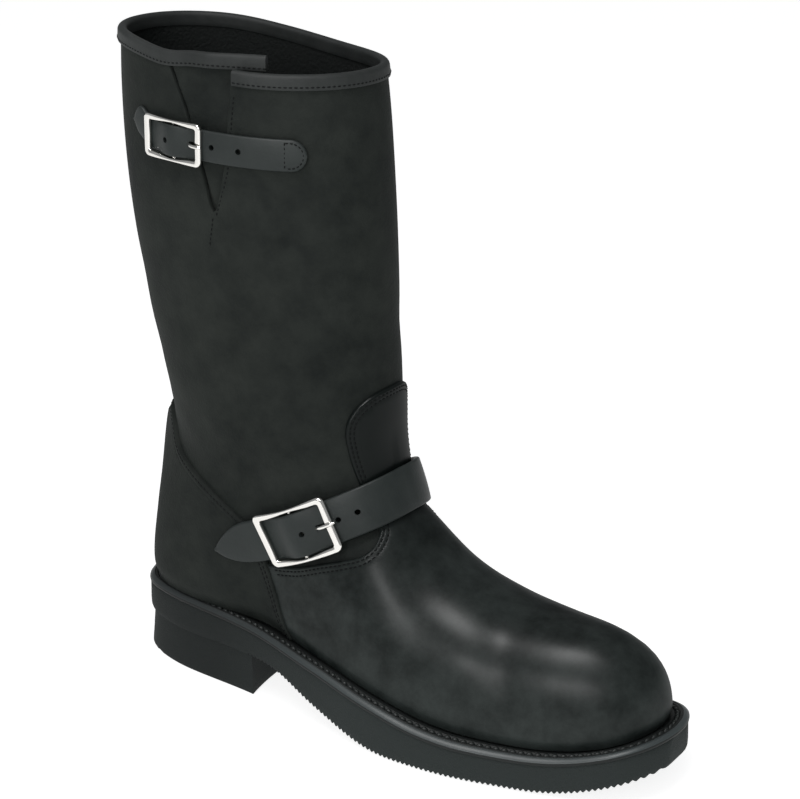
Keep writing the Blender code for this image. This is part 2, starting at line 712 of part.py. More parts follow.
def build():
    for obj in list(bpy.data.objects):
        bpy.data.objects.remove(obj)

    leather = paint("Oiled leather", (0.022, 0.025, 0.024), 0.55)
    vamp_leather = paint("Vamp leather", (0.034, 0.040, 0.039), 0.48)
    strap_leather = paint("Strap leather", (0.040, 0.047, 0.046), 0.5)
    lining = paint("Dark lining", (0.014, 0.016, 0.016), 0.8)
    rubber = paint("Sole rubber", (0.034, 0.038, 0.038), 0.7)
    welt_rubber = paint("Welt rubber", (0.030, 0.034, 0.034), 0.6)
    nickel = paint("Nickel plate", (0.75, 0.74, 0.72), 0.22, 1.0)

    rings = body_rings()
    outward = normals(rings)
    upper = shell("upper", rings, offset(rings, outward, -WALL), leather)
    slit = [tuple(row) for row in SLIT]
    cut(upper, prism("slit_cutter", slit, -FAR, 0.0))
    smooth(upper)

    seam_up = [tuple(row) for row in SEAM]
    counter_seam = [(x - SEAM_GAP, z) for x, z in seam_up]
    shield_top, heel_top = VAMP_EDGE[-1, 1], COUNTER_EDGE[-1, 1]
    past_toe, past_heel, under = SOLE_LENGTH + FAR, -FAR, SEAM[0, 1]
    vamp_side = seam_up + [tuple(row) for row in VAMP_EDGE] + [(past_toe, shield_top), (past_toe, under)]
    counter_side = counter_seam + [tuple(row) for row in COUNTER_EDGE]
    counter_side += [(past_heel, heel_top), (past_heel, under)]
    overlay = offset(rings, outward, GAP + OVERLAY)[:OVERLAY_RINGS], offset(rings, outward, GAP)[:OVERLAY_RINGS]
    vamp = shell("vamp", overlay[0], overlay[1], vamp_leather)
    smooth(cut(vamp, prism("vamp_side", vamp_side), "INTERSECT"))
    counter = shell("counter", overlay[0], overlay[1], leather)
    smooth(cut(counter, prism("counter_side", counter_side), "INTERSECT"))

    step_down = GUSSET_TOP - BINDING_HEIGHT - GUSSET_STEP
    rear, front = GUSSET_MOUTH
    wide_slit = [(x - GUSSET_MARGIN, z) for x, z in slit[2:4]]
    wide_slit += [(slit[4][0], slit[4][1] - SLIT_REACH)]
    wide_slit += [(x + GUSSET_MARGIN, z) for x, z in slit[5:7]]
    wide_slit += [(front + GUSSET_MARGIN, step_down), (front, step_down), (front, ABOVE)]
    wide_slit += [(rear, ABOVE), (rear, step_down), (rear - GUSSET_MARGIN, step_down)]
    deep = -WALL - GUSSET_GAP
    sheets = [offset(rings, outward, depth)[GUSSET_RING:] for depth in (deep, deep - GUSSET_THICKNESS)]
    for sheet in sheets:
        sheet[-1, :, 2] = GUSSET_TOP
    gusset = shell("gusset", sheets[0], sheets[1], leather)
    smooth(cut(gusset, prism("gusset_side", wide_slit, -FAR, 0.0), "INTERSECT"))
    binding("collar_binding", BINDING_TURNS, lambda x: through(RIM, 1, x), 0.0, WALL, strap_leather)
    binding(
        "gusset_binding", GUSSET_BINDING_TURNS, lambda x: GUSSET_TOP + 0 * x, deep, GUSSET_THICKNESS, strap_leather
    )

    welt_rings = [
        sole_ring(WELT_INNER, welt_top, -WELT_THICKNESS),
        sole_ring(0.0, welt_top, -WELT_THICKNESS),
        sole_ring(0.0, welt_top, -WELT_BEVEL),
        sole_ring(WELT_BEVEL, welt_top),
        sole_ring(WELT_INNER, welt_top),
    ]
    smooth(loft("welt", welt_rings, welt_rubber, closed=True))
    sole_top = -WELT_THICKNESS - GAP
    outsole_rings = [
        sole_ring(SOLE_EDGE[0], sole_bottom),
        sole_ring(SOLE_EDGE[1], sole_bottom, 1.0),
        sole_ring(SOLE_EDGE[2], welt_top, sole_top),
    ]
    smooth(slab("outsole", outsole_rings, rubber))
    insole_rings = [
        sole_ring(INSOLE_INSET, welt_top, -WELT_THICKNESS),
        sole_ring(INSOLE_INSET, welt_top, INSOLE_ABOVE),
    ]
    smooth(slab("insole", insole_rings, lining))
    smooth(loft("heel", [heel_ring(inset, z) for inset, z in HEEL_SIDE], rubber))

    ankle = Path(ANKLE_AXIS, ANKLE_TURNS, ANKLE_LINE, ANKLE_WIDTH, ANKLE_BAR_TURN, OVERLAY + GAP)
    half = ANKLE_WIDTH / 2
    start, tip_end, end = ANKLE_REACH
    fold = BAR_HALF_SPAN + STRAP_BEVEL
    reach = np.concatenate([np.linspace(start, tip_end, 6), np.arange(tip_end + 6.0, fold + 3.0, 3.5)])
    reach = np.concatenate([reach, np.arange(fold + 4.3, end - 1, 6.5), [end]])
    narrow = np.clip((tip_end - reach) / (tip_end - start), 0, 1)
    halves = np.maximum(half * (1 - narrow**TIP_POWER), LEAST_HALF)
    halves[-1] = half - LEAST_HALF
    ankle_strap = strap("ankle_strap", ankle, reach, halves, 1.0, STRAP_SLACK, strap_leather)
    cut(ankle_strap, punch("ankle_holes", ankle, ANKLE_HOLES, SLOT, 1.0))
    buckle("ankle", ankle, ANKLE_BUCKLE_HALF, half + FRAME_SIDE_GAP + FRAME_RAIL, 1.0, nickel)

    calf = Path(TOP_AXIS, TOP_TURNS, TOP_LINE, TOP_WIDTH, TOP_BAR_TURN, 0.0)
    half = TOP_WIDTH / 2
    start, tip_end, end = TOP_REACH
    reach = np.concatenate([np.linspace(start, tip_end, 4), np.arange(tip_end + 4.0, 18.0, 3.5)])
    reach = np.concatenate([reach, np.arange(23.0, end - half - 1, 6.0), end - half * np.array([0.9, 0.5, 0.15, 0])])
    tip = half * (1 - np.clip((tip_end - reach) / (tip_end - start), 0, 1) ** TIP_POWER)
    front = half * np.sqrt(np.clip(1 - np.clip((reach - end + half) / half, 0, 1) ** 2, 0, 1))
    halves = np.maximum(np.minimum(tip, front), LEAST_HALF)
    top_strap = strap("top_strap", calf, reach, halves, TOP_SIZE, 0.0, strap_leather)
    small_slot = tuple(TOP_SIZE * value for value in SLOT)
    cut(top_strap, punch("top_holes", calf, TOP_HOLES, small_slot, TOP_SIZE))
    buckle("top", calf, TOP_BUCKLE_HALF, half + FRAME_SIDE_GAP + FRAME_RAIL * TOP_SIZE, TOP_SIZE, nickel)

    stand_on_origin()


def stand_on_origin():
    """Moves everything so that the origin is on the floor below the middle of the boot."""
    bpy.context.view_layer.update()
    graph = bpy.context.evaluated_depsgraph_get()
    corners = []
    for obj in bpy.data.objects:
        if not obj.hide_render:
            corners.append([obj.matrix_world @ vertex.co for vertex in obj.evaluated_get(graph).data.vertices])
    low = np.min([np.min(points, axis=0) for points in corners], axis=0)
    high = np.max([np.max(points, axis=0) for points in corners], axis=0)
    middle = (low + high) / 2
    for obj in bpy.data.objects:
        obj.location = (-middle[0], -middle[1], -low[2])


build()
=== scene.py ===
"""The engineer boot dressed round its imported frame: fine leather, stitches, welt, tread and polished buckles.

Shapes are worked out in the part's own millimetres, x from heel to toe and y towards the inner side of
the foot, and moved into the frame's metres when the meshes are made.
"""

import bmesh
import bpy
import numpy as np
from mathutils import Matrix, Vector


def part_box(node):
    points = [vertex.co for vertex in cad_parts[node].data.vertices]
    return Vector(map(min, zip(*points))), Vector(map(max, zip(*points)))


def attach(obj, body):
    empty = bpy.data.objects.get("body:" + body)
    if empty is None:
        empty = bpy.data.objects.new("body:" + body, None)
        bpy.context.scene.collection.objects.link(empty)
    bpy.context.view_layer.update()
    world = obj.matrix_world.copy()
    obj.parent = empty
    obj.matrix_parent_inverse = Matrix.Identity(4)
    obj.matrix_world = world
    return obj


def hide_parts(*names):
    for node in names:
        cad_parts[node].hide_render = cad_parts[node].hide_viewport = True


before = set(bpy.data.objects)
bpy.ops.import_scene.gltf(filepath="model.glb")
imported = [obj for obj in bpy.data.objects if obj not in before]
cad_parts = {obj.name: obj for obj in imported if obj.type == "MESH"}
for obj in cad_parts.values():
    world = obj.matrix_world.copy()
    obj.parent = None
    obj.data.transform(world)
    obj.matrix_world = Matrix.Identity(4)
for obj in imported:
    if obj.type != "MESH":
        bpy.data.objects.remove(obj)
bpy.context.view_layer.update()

MM = 0.001

# Driving sizes, in millimetres
SOLE_LENGTH = 312.0
HEEL_HEIGHT = 22.0
HEEL_SHARE = 0.2917
BREAST_HOLLOW = 5.0
LEDGE = 8.0
WALL = 2.2
OVERLAY = 1.8
GAP = 0.3
WELT_THICKNESS = 3.6
WELT_INNER = 13.4
HEEL_LENGTH = HEEL_SHARE * SOLE_LENGTH
TOE_SWING = 4.5
ANKLE_BLEND = 14.0
WIDEST_HALF = 55.0
# How far the outsole's side stands in at its foot, just above it and at its top
SOLE_EDGE = (1.2, 0.2, 0.6)
# Share of the sole's length, spread of the outer side, spread of the inner side.
# The half width is 2 * sqrt(s * (1 - s)) * spread, so both ends close round.
OUTLINE = np.array([
    [0.00, 76.0, 76.0], [0.06, 62.0, 64.0], [0.14, 52.0, 52.5], [0.28, 43.5, 41.5],
    [0.42, 48.0, 38.0], [0.56, 54.5, 46.0], [0.68, 57.0, 56.5], [0.80, 57.0, 61.0],
    [0.90, 62.0, 63.0], [1.00, 79.0, 76.0],
])
# Share of the sole's length, the sole's lower face as a share of the heel's height, and the height of the
# welt's top face
SOLE_HEIGHTS = np.array([
    [0.00, 1.00, 41.0], [0.12, 1.00, 42.0], [0.27, 1.00, 39.5], [0.34, 0.93, 37.2],
    [0.44, 0.47, 33.0], [0.56, 0.03, 26.0], [0.64, 0.00, 21.0], [0.74, 0.00, 18.5],
    [0.86, 0.09, 20.5], [1.00, 0.68, 33.0],
])
# Share of the foot's length, height of its top line above the welt
FOOT_TOP = np.array([
    [0.00, 88.0], [0.12, 98.0], [0.25, 108.0], [0.40, 94.0], [0.50, 81.5], [0.60, 62.0],
    [0.70, 54.0], [0.80, 52.0], [0.90, 55.0], [1.00, 55.0],
])
TOE_ROUND_FROM = 0.72
TOE_ROUND_POWER = 2.4
FOOT_POWER = 2.25
LEAST_SCALE = 20.0
# Height, back x, front x, half width of the shaft
SHAFT = np.array([
    [40.0, 6.5, 95.0, 33.5], [60.0, 7.0, 106.0, 35.0], [85.0, 16.0, 120.0, 35.0],
    [115.0, 31.0, 147.0, 37.0], [150.0, 21.5, 150.0, 41.0], [200.0, 9.5, 148.5, 43.5],
    [260.0, 0.5, 146.0, 45.5], [310.0, -0.8, 142.0, 45.8], [340.0, 0.4, 138.0, 44.4],
])
SHAFT_POWER = 2.2
# x, height of the leather's top edge
RIM = np.array([
    [-5.0, 334.0], [30.0, 331.5], [58.0, 327.5], [94.0, 323.0], [145.0, 322.0],
])
# Share of the way up, height at the heel, height above the toe, ends of the line that the ring is cast from
RINGS = np.array([
    [0.00, 41.0, 33.0, 45.0, 240.0],
    [0.06, 50.0, 50.0, 45.0, 228.0],
    [0.12, 59.0, 64.0, 45.0, 215.0],
    [0.20, 72.0, 78.0, 47.0, 186.0],
    [0.28, 84.0, 90.0, 49.0, 156.0],
    [0.36, 97.0, 101.0, 53.0, 131.0],
    [0.44, 109.0, 114.0, 58.0, 104.0],
    [0.50, 118.0, 135.0, 62.0, 85.0],
    [0.60, 155.0, 163.0, 66.0, 74.0],
    [1.00, 330.0, 330.0, 68.0, 68.0],
])
FLAT_FROM = 0.12
LEVEL_SPAN = 300.0
TILT_FROM = 0.6
FAR = 90.0
ABOVE = RIM[0, 1] + 11.0
# x and height of the seam between counter and vamp, from the welt up
SEAM = np.array([
    [113.0, 10.0], [112.5, 34.0], [110.6, 42.0], [105.8, 54.0], [101.8, 65.0], [98.5, 74.0],
])
# x and height of the vamp's upper edge, from the seam to the front of the shaft
VAMP_EDGE = np.array([
    [116.0, 77.6], [132.0, 84.0], [147.0, 89.7], [155.0, 93.2], [159.0, 97.8], [159.0, 103.0],
    [154.5, 108.5], [150.0, 117.0], [146.0, 128.0], [142.8, 140.0], [141.6, 150.0], [143.2, 159.0],
    [146.5, 164.8], [151.5, 169.8], [159.0, 172.0],
])
# x and height of the counter's upper edge, from the seam to the back
COUNTER_EDGE = np.array([
    [95.0, 82.5], [91.0, 90.5], [82.0, 97.6], [69.0, 105.3], [54.0, 112.0], [44.0, 115.6],
    [36.0, 118.6], [29.5, 123.0], [24.5, 130.5], [17.0, 136.0], [6.0, 138.5],
])
# x and height of the slit in the outer side of the shaft: its rear edge down, then its front edge up
SLIT = np.array([
    [50.0, 345.0], [57.0, 322.0], [65.7, 304.0], [74.3, 277.0], [80.6, 255.5], [87.3, 277.0],
    [90.6, 304.0], [94.9, 345.0],
])
GUSSET_MARGIN = 7.0
GUSSET_THICKNESS = 1.6
GUSSET_GAP = 0.6
SLIT_REACH = 18.0
BINDING_HEIGHT = 5.5
BINDING_THICKNESS = 1.2
RIM_CENTRE = (68.0, 3.0)

# x and height of the ankle strap's middle line
ANKLE_LINE = np.array([
    [55.0, 73.5], [70.0, 78.5], [98.0, 89.5], [120.5, 98.0], [143.0, 109.5], [155.0, 116.0],
    [166.0, 124.0], [180.0, 134.0],
])
ANKLE_WIDTH = 22.5
# The strap's axis, the turns it spans, and the turn at which it crosses the buckle's bar
ANKLE_AXIS = 110.0
ANKLE_TURNS = (-142.0, 112.0)
ANKLE_BAR_TURN = -72.0
# Along the strap from the bar: the point's tip, where it is full width, and the far end
ANKLE_REACH = (-55.0, -27.0, 141.0)
ANKLE_HOLES = (4.3, 23.3, 32.9)
ANKLE_BUCKLE_HALF = 21.0
# x and height of the top strap's middle line
TOP_LINE = np.array([
    [20.0, 291.0], [60.0, 289.0], [100.0, 287.5], [150.0, 286.5],
])
TOP_WIDTH = 15.0
TOP_AXIS = 70.0
TOP_TURNS = (-142.0, -12.0)
TOP_BAR_TURN = -101.5
TOP_REACH = (-32.0, -22.5, 68.6)
TOP_HOLES = (-2.5, 22.5, 36.6)
TOP_BUCKLE_HALF = 17.6
TOP_SIZE = 0.86
STRAP_THICKNESS = 2.4
STRAP_CLEARANCE = 0.4
STRAP_SLACK = 1.6
SLACK_SPAN = (32.0, 130.0)
# Buckle sizes for a size of 1: the ankle buckle is 1 and the top buckle smaller
BAR_LIFT = 3.8
BAR_HALF_SPAN = 16.0
BAR_RADIUS = 1.2
BAR_HEIGHT = 2.6
FRAME_LOW = 3.1
FRAME_HIGH = 6.1
FRAME_RAIL = 2.9
FRAME_SIDE_GAP = 0.35
HOLE_RADIUS = 1.4
# Along, height, half width, half thickness of the prong
PRONG = np.array([
    [-3.2, 2.6, 1.2, 0.4], [-2.3, 1.2, 1.2, 0.4], [0.0, 0.75, 1.2, 0.35], [3.0, 0.85, 1.1, 0.4],
    [7.0, 1.35, 1.0, 0.6], [9.8, 2.5, 1.0, 0.9], [12.6, 4.8, 1.0, 1.0], [15.4, 6.7, 1.0, 1.0],
    [18.5, 7.45, 1.0, 1.0], [21.6, 7.5, 0.9, 0.9], [22.6, 7.3, 0.6, 0.6],
])


def through(table, column, at):
    """A smooth curve through one column of a table, read at the places given."""
    xs, ys = table[:, 0], table[:, column]
    at = np.clip(np.asarray(at, float), xs[0], xs[-1])
    step = np.diff(xs)
    slope = np.diff(ys) / step
    inner = (slope[:-1] * step[1:] + slope[1:] * step[:-1]) / (step[1:] + step[:-1])
    lean = np.concatenate([slope[:1], inner, slope[-1:]])
    i = np.clip(np.searchsorted(xs, at, side="right") - 1, 0, len(step) - 1)
    t = (at - xs[i]) / step[i]
    start = (2 * t**3 - 3 * t**2 + 1) * ys[i] + (t**3 - 2 * t**2 + t) * step[i] * lean[i]
    end = (3 * t**2 - 2 * t**3) * ys[i + 1] + (t**3 - t**2) * step[i] * lean[i + 1]
    return start + end


def centre_line(s):
    return TOE_SWING * np.clip((s - 0.35) / 0.65, 0, 1) ** 2


def half_width(s, inner, inset):
    spread = np.where(inner, through(OUTLINE, 2, s), through(OUTLINE, 1, s))
    return 2 * np.sqrt(np.clip(s * (1 - s), 0, None)) * spread * (WIDEST_HALF - inset) / WIDEST_HALF


def welt_top(x):
    return through(SOLE_HEIGHTS, 2, x / SOLE_LENGTH)


def sole_bottom(x):
    """The forefoot has a flat spot on the floor."""
    return np.maximum(HEEL_HEIGHT * through(SOLE_HEIGHTS, 1, x / SOLE_LENGTH), 0.0)


def field(x, y, z):
    """Below zero inside the leather body, and close to a distance near its face."""
    inset = LEDGE + OVERLAY + GAP
    length = SOLE_LENGTH - 2 * inset
    along = (x - inset) / length
    s = np.clip(along, 1e-4, 1 - 1e-4)
    middle = centre_line(s)
    half = np.maximum(half_width(s, y > middle, inset), 1e-3)
    t = np.clip((s - TOE_ROUND_FROM) / (1 - TOE_ROUND_FROM), 0, 1)
    high = through(FOOT_TOP, 1, s) * (1 - t**TOE_ROUND_POWER) ** (1 / TOE_ROUND_POWER)
    high = np.maximum(high, 1e-3)
    up = np.clip(z - welt_top(x), 0, None)
    r = ((np.abs(y - middle) / half) ** FOOT_POWER + (up / high) ** FOOT_POWER) ** (1 / FOOT_POWER)
    foot = (r - 1) * np.maximum(np.minimum(half, high), LEAST_SCALE)
    beyond = np.maximum(-along, along - 1) * length
    foot = np.where(beyond > 0, np.maximum(foot, 0) + beyond + 0.1, foot)
    back, front, wide = (through(SHAFT, column, z) for column in (1, 2, 3))
    deep = (front - back) / 2
    r = np.abs((x - (back + front) / 2) / deep) ** SHAFT_POWER + np.abs(y / wide) ** SHAFT_POWER
    shaft = (r ** (1 / SHAFT_POWER) - 1) * np.minimum(deep, wide)
    near = np.clip(ANKLE_BLEND - np.abs(foot - shaft), 0, None) / ANKLE_BLEND
    return np.minimum(foot, shaft) - near * near * ANKLE_BLEND / 4


def normals(points):
    """The outward direction of the body's face at each point."""
    x, y, z = points[..., 0], points[..., 1], points[..., 2]
    e = 0.25
    slope = np.stack([
        field(x + e, y, z) - field(x - e, y, z),
        field(x, y + e, z) - field(x, y - e, z),
        field(x, y, z + e) - field(x, y, z - e),
    ], -1)
    return slope / np.linalg.norm(slope, axis=-1, keepdims=True)


def cast(from_x, from_y, to_x, to_y, height):
    """Where level rays from inside the body reach its face, at the height that a rule gives for each x."""
    low = np.zeros(np.broadcast(from_x, to_x).shape)
    high = low + SOLE_LENGTH / 2
    for _ in range(22):
        mid = (low + high) / 2
        x = from_x + to_x * mid
        inside = field(x, from_y + to_y * mid, height(x)) < 0
        low = np.where(inside, mid, low)
        high = np.where(inside, high, mid)
    x = from_x + to_x * low
    return np.stack([x, from_y + to_y * low, height(x) + 0 * x], -1)


def body_rings(levels, count):
    """Rings of points on the body's outer face, at shares of the way from the welt up to the rim."""
    v = levels[:, None]
    turn = np.linspace(0, 2 * np.pi, count, endpoint=False)[None, :]
    heel, toe, first, last = (np.interp(v, RINGS[:, 0], RINGS[:, k]) for k in (1, 2, 3, 4))

    def height(x):
        level = heel + (toe - heel) * np.clip(x / LEVEL_SPAN, 0, 1)
        low = welt_top(x) + GAP
        part = np.clip(v / FLAT_FROM, 0, 1)
        rise = np.clip((v - TILT_FROM) / (1 - TILT_FROM), 0, 1)
        return low + (level - low) * part + (through(RIM, 1, x) - level) * rise

    from_x = (first + last) / 2 - (last - first) / 2 * np.cos(turn)
    return cast(from_x, RIM_CENTRE[1] + 0 * from_x, -np.cos(turn), np.sin(turn), height)


class Path:
    """A band laid round the boot: places on it are given as along, across and out, in millimetres."""

    def __init__(self, axis_x, turns, middle, width, base_turn, cover):
        turn = np.radians(np.linspace(turns[0], turns[1], 121))
        dx, dy = np.cos(turn), np.sin(turn)
        rows = []
        slope = np.gradient(middle[:, 1], middle[:, 0])
        size = np.sqrt(1 + slope**2)
        start = cast(axis_x + 0 * dx, 0 * dx, dx, dy, lambda x: through(middle, 1, x))
        lean = np.interp(start[:, 0], middle[:, 0], slope / size)
        for share in (-0.5, 0.0, 0.5):
            line = middle.copy()
            line[:, 0] -= slope / size * share * width
            line[:, 1] += share * width / size
            away = start[:, 0] - lean * share * width - axis_x, start[:, 1]
            far = np.hypot(*away)
            rule = lambda x, line=line: through(line, 1, x)
            points = cast(axis_x + 0 * dx, 0 * dx, away[0] / far, away[1] / far, rule)
            rows.append(points + normals(points) * cover)
        low, mid, high = rows
        self.chord = (low + high) / 2
        across = high - low
        self.across = across / np.linalg.norm(across, axis=1, keepdims=True)
        along = np.gradient(self.chord, axis=0)
        out = np.cross(along, self.across)
        out /= np.linalg.norm(out, axis=1, keepdims=True)
        self.out = out if (out * normals(mid)).sum() > 0 else -out
        self.bulge = np.clip(((mid - self.chord) * self.out).sum(1), 0, None)
        step = np.linalg.norm(np.diff(self.chord, axis=0), axis=1)
        reach = np.concatenate([[0], np.cumsum(step)])
        self.reach = reach - np.interp(np.radians(base_turn), turn, reach)

    def read(self, values, s):
        columns = [np.interp(s, self.reach, values[:, k]) for k in range(values.shape[1])]
        return np.stack(columns, -1)

    def at(self, s, w, h, follow=1.0):
        """Points at s along, w across and h out. follow is the share of the bulge below that is taken."""
        s, w, h, follow = np.broadcast_arrays(s, w, h, follow)
        rise = h + follow * np.interp(s, self.reach, self.bulge)
        base = self.read(self.chord, s)
        return base + self.read(self.across, s) * w[..., None] + self.read(self.out, s) * rise[..., None]


def bar_lift(s, size):
    """How far the strap rises over the buckle's middle bar."""
    share = np.clip(np.abs(s) / (BAR_HALF_SPAN * size), 0, 1)
    return BAR_LIFT * size * np.cos(share * np.pi / 2) ** 2


def sole_outline(inset, count=64):
    turn = np.linspace(0, 2 * np.pi, count, endpoint=False)
    s = (1 - np.cos(turn)) / 2
    side = np.sin(turn)
    half = half_width(s, side > 0, inset)
    x = inset + s * (SOLE_LENGTH - 2 * inset)
    return x, centre_line(s) + np.sign(side) * half


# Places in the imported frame
sole_x, sole_y = sole_outline(0.0)
WELT_LOW = np.array(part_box("welt")[0]) / MM
SHIFT = np.array([WELT_LOW[0] - sole_x.min(), WELT_LOW[1] - sole_y.min(), 0.0])


def to_frame(points):
    return (np.asarray(points, float) + SHIFT) * MM


# Sheets of triangles that carry their own values
def rise(share):
    """A quarter round from 0 to 1."""
    return np.sqrt(np.clip(1 - (1 - np.clip(share, 0, 1)) ** 2, 0, 1))


def soft(share):
    share = np.clip(share, 0, 1)
    return share * share * (3 - 2 * share)


def grid_faces(rows, count, wrap=True):
    k, i = np.meshgrid(np.arange(rows - 1), np.arange(count if wrap else count - 1), indexing="ij")
    j = (i + 1) % count
    a, b, c, d = k * count + i, k * count + j, (k + 1) * count + j, (k + 1) * count + i
    return np.concatenate([np.stack([a, b, c], -1).reshape(-1, 3), np.stack([a, c, d], -1).reshape(-1, 3)])


def triangle_edges(tris):
    return np.concatenate([tris[:, [0, 1]], tris[:, [1, 2]], tris[:, [2, 0]]])


def split(data, tris, column, level, snap=0.04):
    """Cuts the triangles along the line where a column reaches a level."""
    value = data[:, column] - level
    value[np.abs(value) < snap] = 0.0
    data[:, column] = value + level
    data[value == 0.0, column] = level
    edges = np.sort(triangle_edges(tris), axis=1)
    edges, place = np.unique(edges, axis=0, return_inverse=True)
    a, b = value[edges[:, 0]], value[edges[:, 1]]
    cross = a * b < 0
    index = np.full(len(edges), -1)
    index[cross] = len(data) + np.arange(cross.sum())
    t = (a[cross] / (a[cross] - b[cross]))[:, None]
    new = data[edges[cross, 0]] * (1 - t) + data[edges[cross, 1]] * t
    new[:, column] = level
    data = np.concatenate([data, new])
    mids = index[place.reshape(-1)].reshape(3, -1).T
    out = [tris[(mids < 0).all(1)]]
    for k in range(3):
        p, q, r = tris[:, k], tris[:, (k + 1) % 3], tris[:, (k + 2) % 3]
        pq, qr, rp = mids[:, k], mids[:, (k + 1) % 3], mids[:, (k + 2) % 3]
        two = (pq >= 0) & (rp >= 0)
        one = (qr >= 0) & (pq < 0) & (rp < 0)
        out += [np.stack(c, -1)[two] for c in ((p, pq, rp), (pq, q, r), (pq, r, rp))]
        out += [np.stack(c, -1)[one] for c in ((p, q, qr), (p, qr, r))]
    return data, np.concatenate(out)


def keep_above(data, tris, column, level):
    value = data[tris, column]
    return tris[(value >= level).all(1) & (value > level).any(1)]


def chains(data, tris, column, level):
    """Runs of points that lie exactly on a level, in order."""
    edges = triangle_edges(tris)
    edges = np.unique(np.sort(edges[(data[edges, column] == level).all(1)], axis=1), axis=0)
    near = {}
    for a, b in edges.tolist():
        near.setdefault(a, set()).add(b)
        near.setdefault(b, set()).add(a)
    runs = []
    for start in sorted(near, key=lambda v: (len(near[v]) != 1, v)):
        while near[start]:
            run, here = [start], start
            while near[here]:
                after = min(near[here])
                near[here].discard(after)
                near[after].discard(here)
                run.append(after)
                here = after
            if len(run) > 6:
                runs.append(data[run, :3])
    return runs


def curve(table, count=60):
    """A smooth line through a table's places in the side view."""
    points = np.asarray(table, float)
    reach = np.concatenate([[0], np.cumsum(np.linalg.norm(np.diff(points, axis=0), axis=1))])
    rows = np.column_stack([reach, points])
    at = np.linspace(0, reach[-1], count)
    return np.stack([through(rows, k, at) for k in range(1, rows.shape[1])], -1)


def to_line(x, z, line):
    """Distance from a line in the side view, and the unit step away from it."""
    best = np.full(x.shape, 1e9)
    gx, gz = np.zeros(x.shape), np.zeros(x.shape)
    for (ax, az), (bx, bz) in zip(line[:-1], line[1:]):
        ux, uz = bx - ax, bz - az
        t = np.clip(((x - ax) * ux + (z - az) * uz) / (ux * ux + uz * uz), 0, 1)
        dx, dz = x - ax - t * ux, z - az - t * uz
        far = np.hypot(dx, dz)
        nearer = far < best
        best = np.where(nearer, far, best)
        gx = np.where(nearer, dx / np.maximum(far, 1e-9), gx)
        gz = np.where(nearer, dz / np.maximum(far, 1e-9), gz)
    return best, gx, gz


def inside(x, z, ring):
    odd = np.zeros(x.shape, bool)
    for (ax, az), (bx, bz) in zip(ring, np.roll(ring, -1, axis=0)):
        if az != bz:
            odd ^= ((az > z) != (bz > z)) & (x < ax + (z - az) * (bx - ax) / (bz - az))
    return odd


def edge_distance(points, outward, line, ring=None):
    """Distance over the leather from an edge drawn in the side view, and below 0 outside its ring."""
    x, z = points[:, 0], points[:, 2]
    far, gx, gz = to_line(x, z, line)
    facing = gx * outward[:, 0] + gz * outward[:, 2]
    far = far / np.maximum(np.sqrt(np.clip(1 - facing**2, 0, 1)), 0.35)
    return far if ring is None else np.where(inside(x, z, ring), far, -far)


def tidy_sheet(data, tris):
    used, place = np.unique(tris, return_inverse=True)
    return data[used], place.reshape(tris.shape)


def new_mesh(name, points, faces, mend=True):
    """A mesh in the frame's metres, whose faces are turned outward when mend is set."""
    mesh = bpy.data.meshes.new(name)
    mesh.from_pydata(to_frame(points).tolist(), [], faces)
    if mend:
        work = bmesh.new()
        work.from_mesh(mesh)
        bmesh.ops.recalc_face_normals(work, faces=work.faces)
        work.to_mesh(mesh)
        work.free()
    return mesh


def new_object(name, data):
    obj = bpy.data.objects.new(name, data)
    bpy.context.scene.collection.objects.link(obj)
    return obj


def piece(name, points, faces, materials, nodes=(), outward=None, angle=40.0, tags=None):
    faces = [tuple(face) for face in (faces.tolist() if isinstance(faces, np.ndarray) else faces)]
    if outward is not None:
        a, b, c = (points[[face[k] for face in faces]] for k in range(3))
        side = np.cross(b - a, c - a) * outward[[face[0] for face in faces]]
        if side.sum() < 0:
            faces = [face[::-1] for face in faces]
    mesh = new_mesh(name, points, faces, mend=outward is None)
    for material in materials if isinstance(materials, (list, tuple)) else [materials]:
        mesh.materials.append(material)
    if tags is not None:
        mesh.polygons.foreach_set("material_index", np.asarray(tags, np.int32))
    mesh.polygons.foreach_set("use_smooth", np.ones(len(mesh.polygons), bool))
    if angle:
        mesh.set_sharp_from_angle(angle=np.radians(angle))
    obj = new_object(name, mesh)
    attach(obj, "root")
    if nodes:
        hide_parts(*nodes)
    return obj


def sweep(rings, closed=False, base=0):
    """Points and faces of rings joined in order."""
    rings = np.asarray(rings, float)
    rows, count = rings.shape[:2]
    k, i = np.meshgrid(np.arange(rows if closed else rows - 1), np.arange(count), indexing="ij")
    n, j = (k + 1) % rows, (i + 1) % count
    quads = np.stack([k * count + i, k * count + j, n * count + j, n * count + i], -1).reshape(-1, 4) + base
    faces = [tuple(face) for face in quads.tolist()]
    if not closed:
        faces += [tuple(range(base, base + count))[::-1]]
        faces += [tuple(range(base + (rows - 1) * count, base + rows * count))]
    return rings.reshape(-1, 3), faces


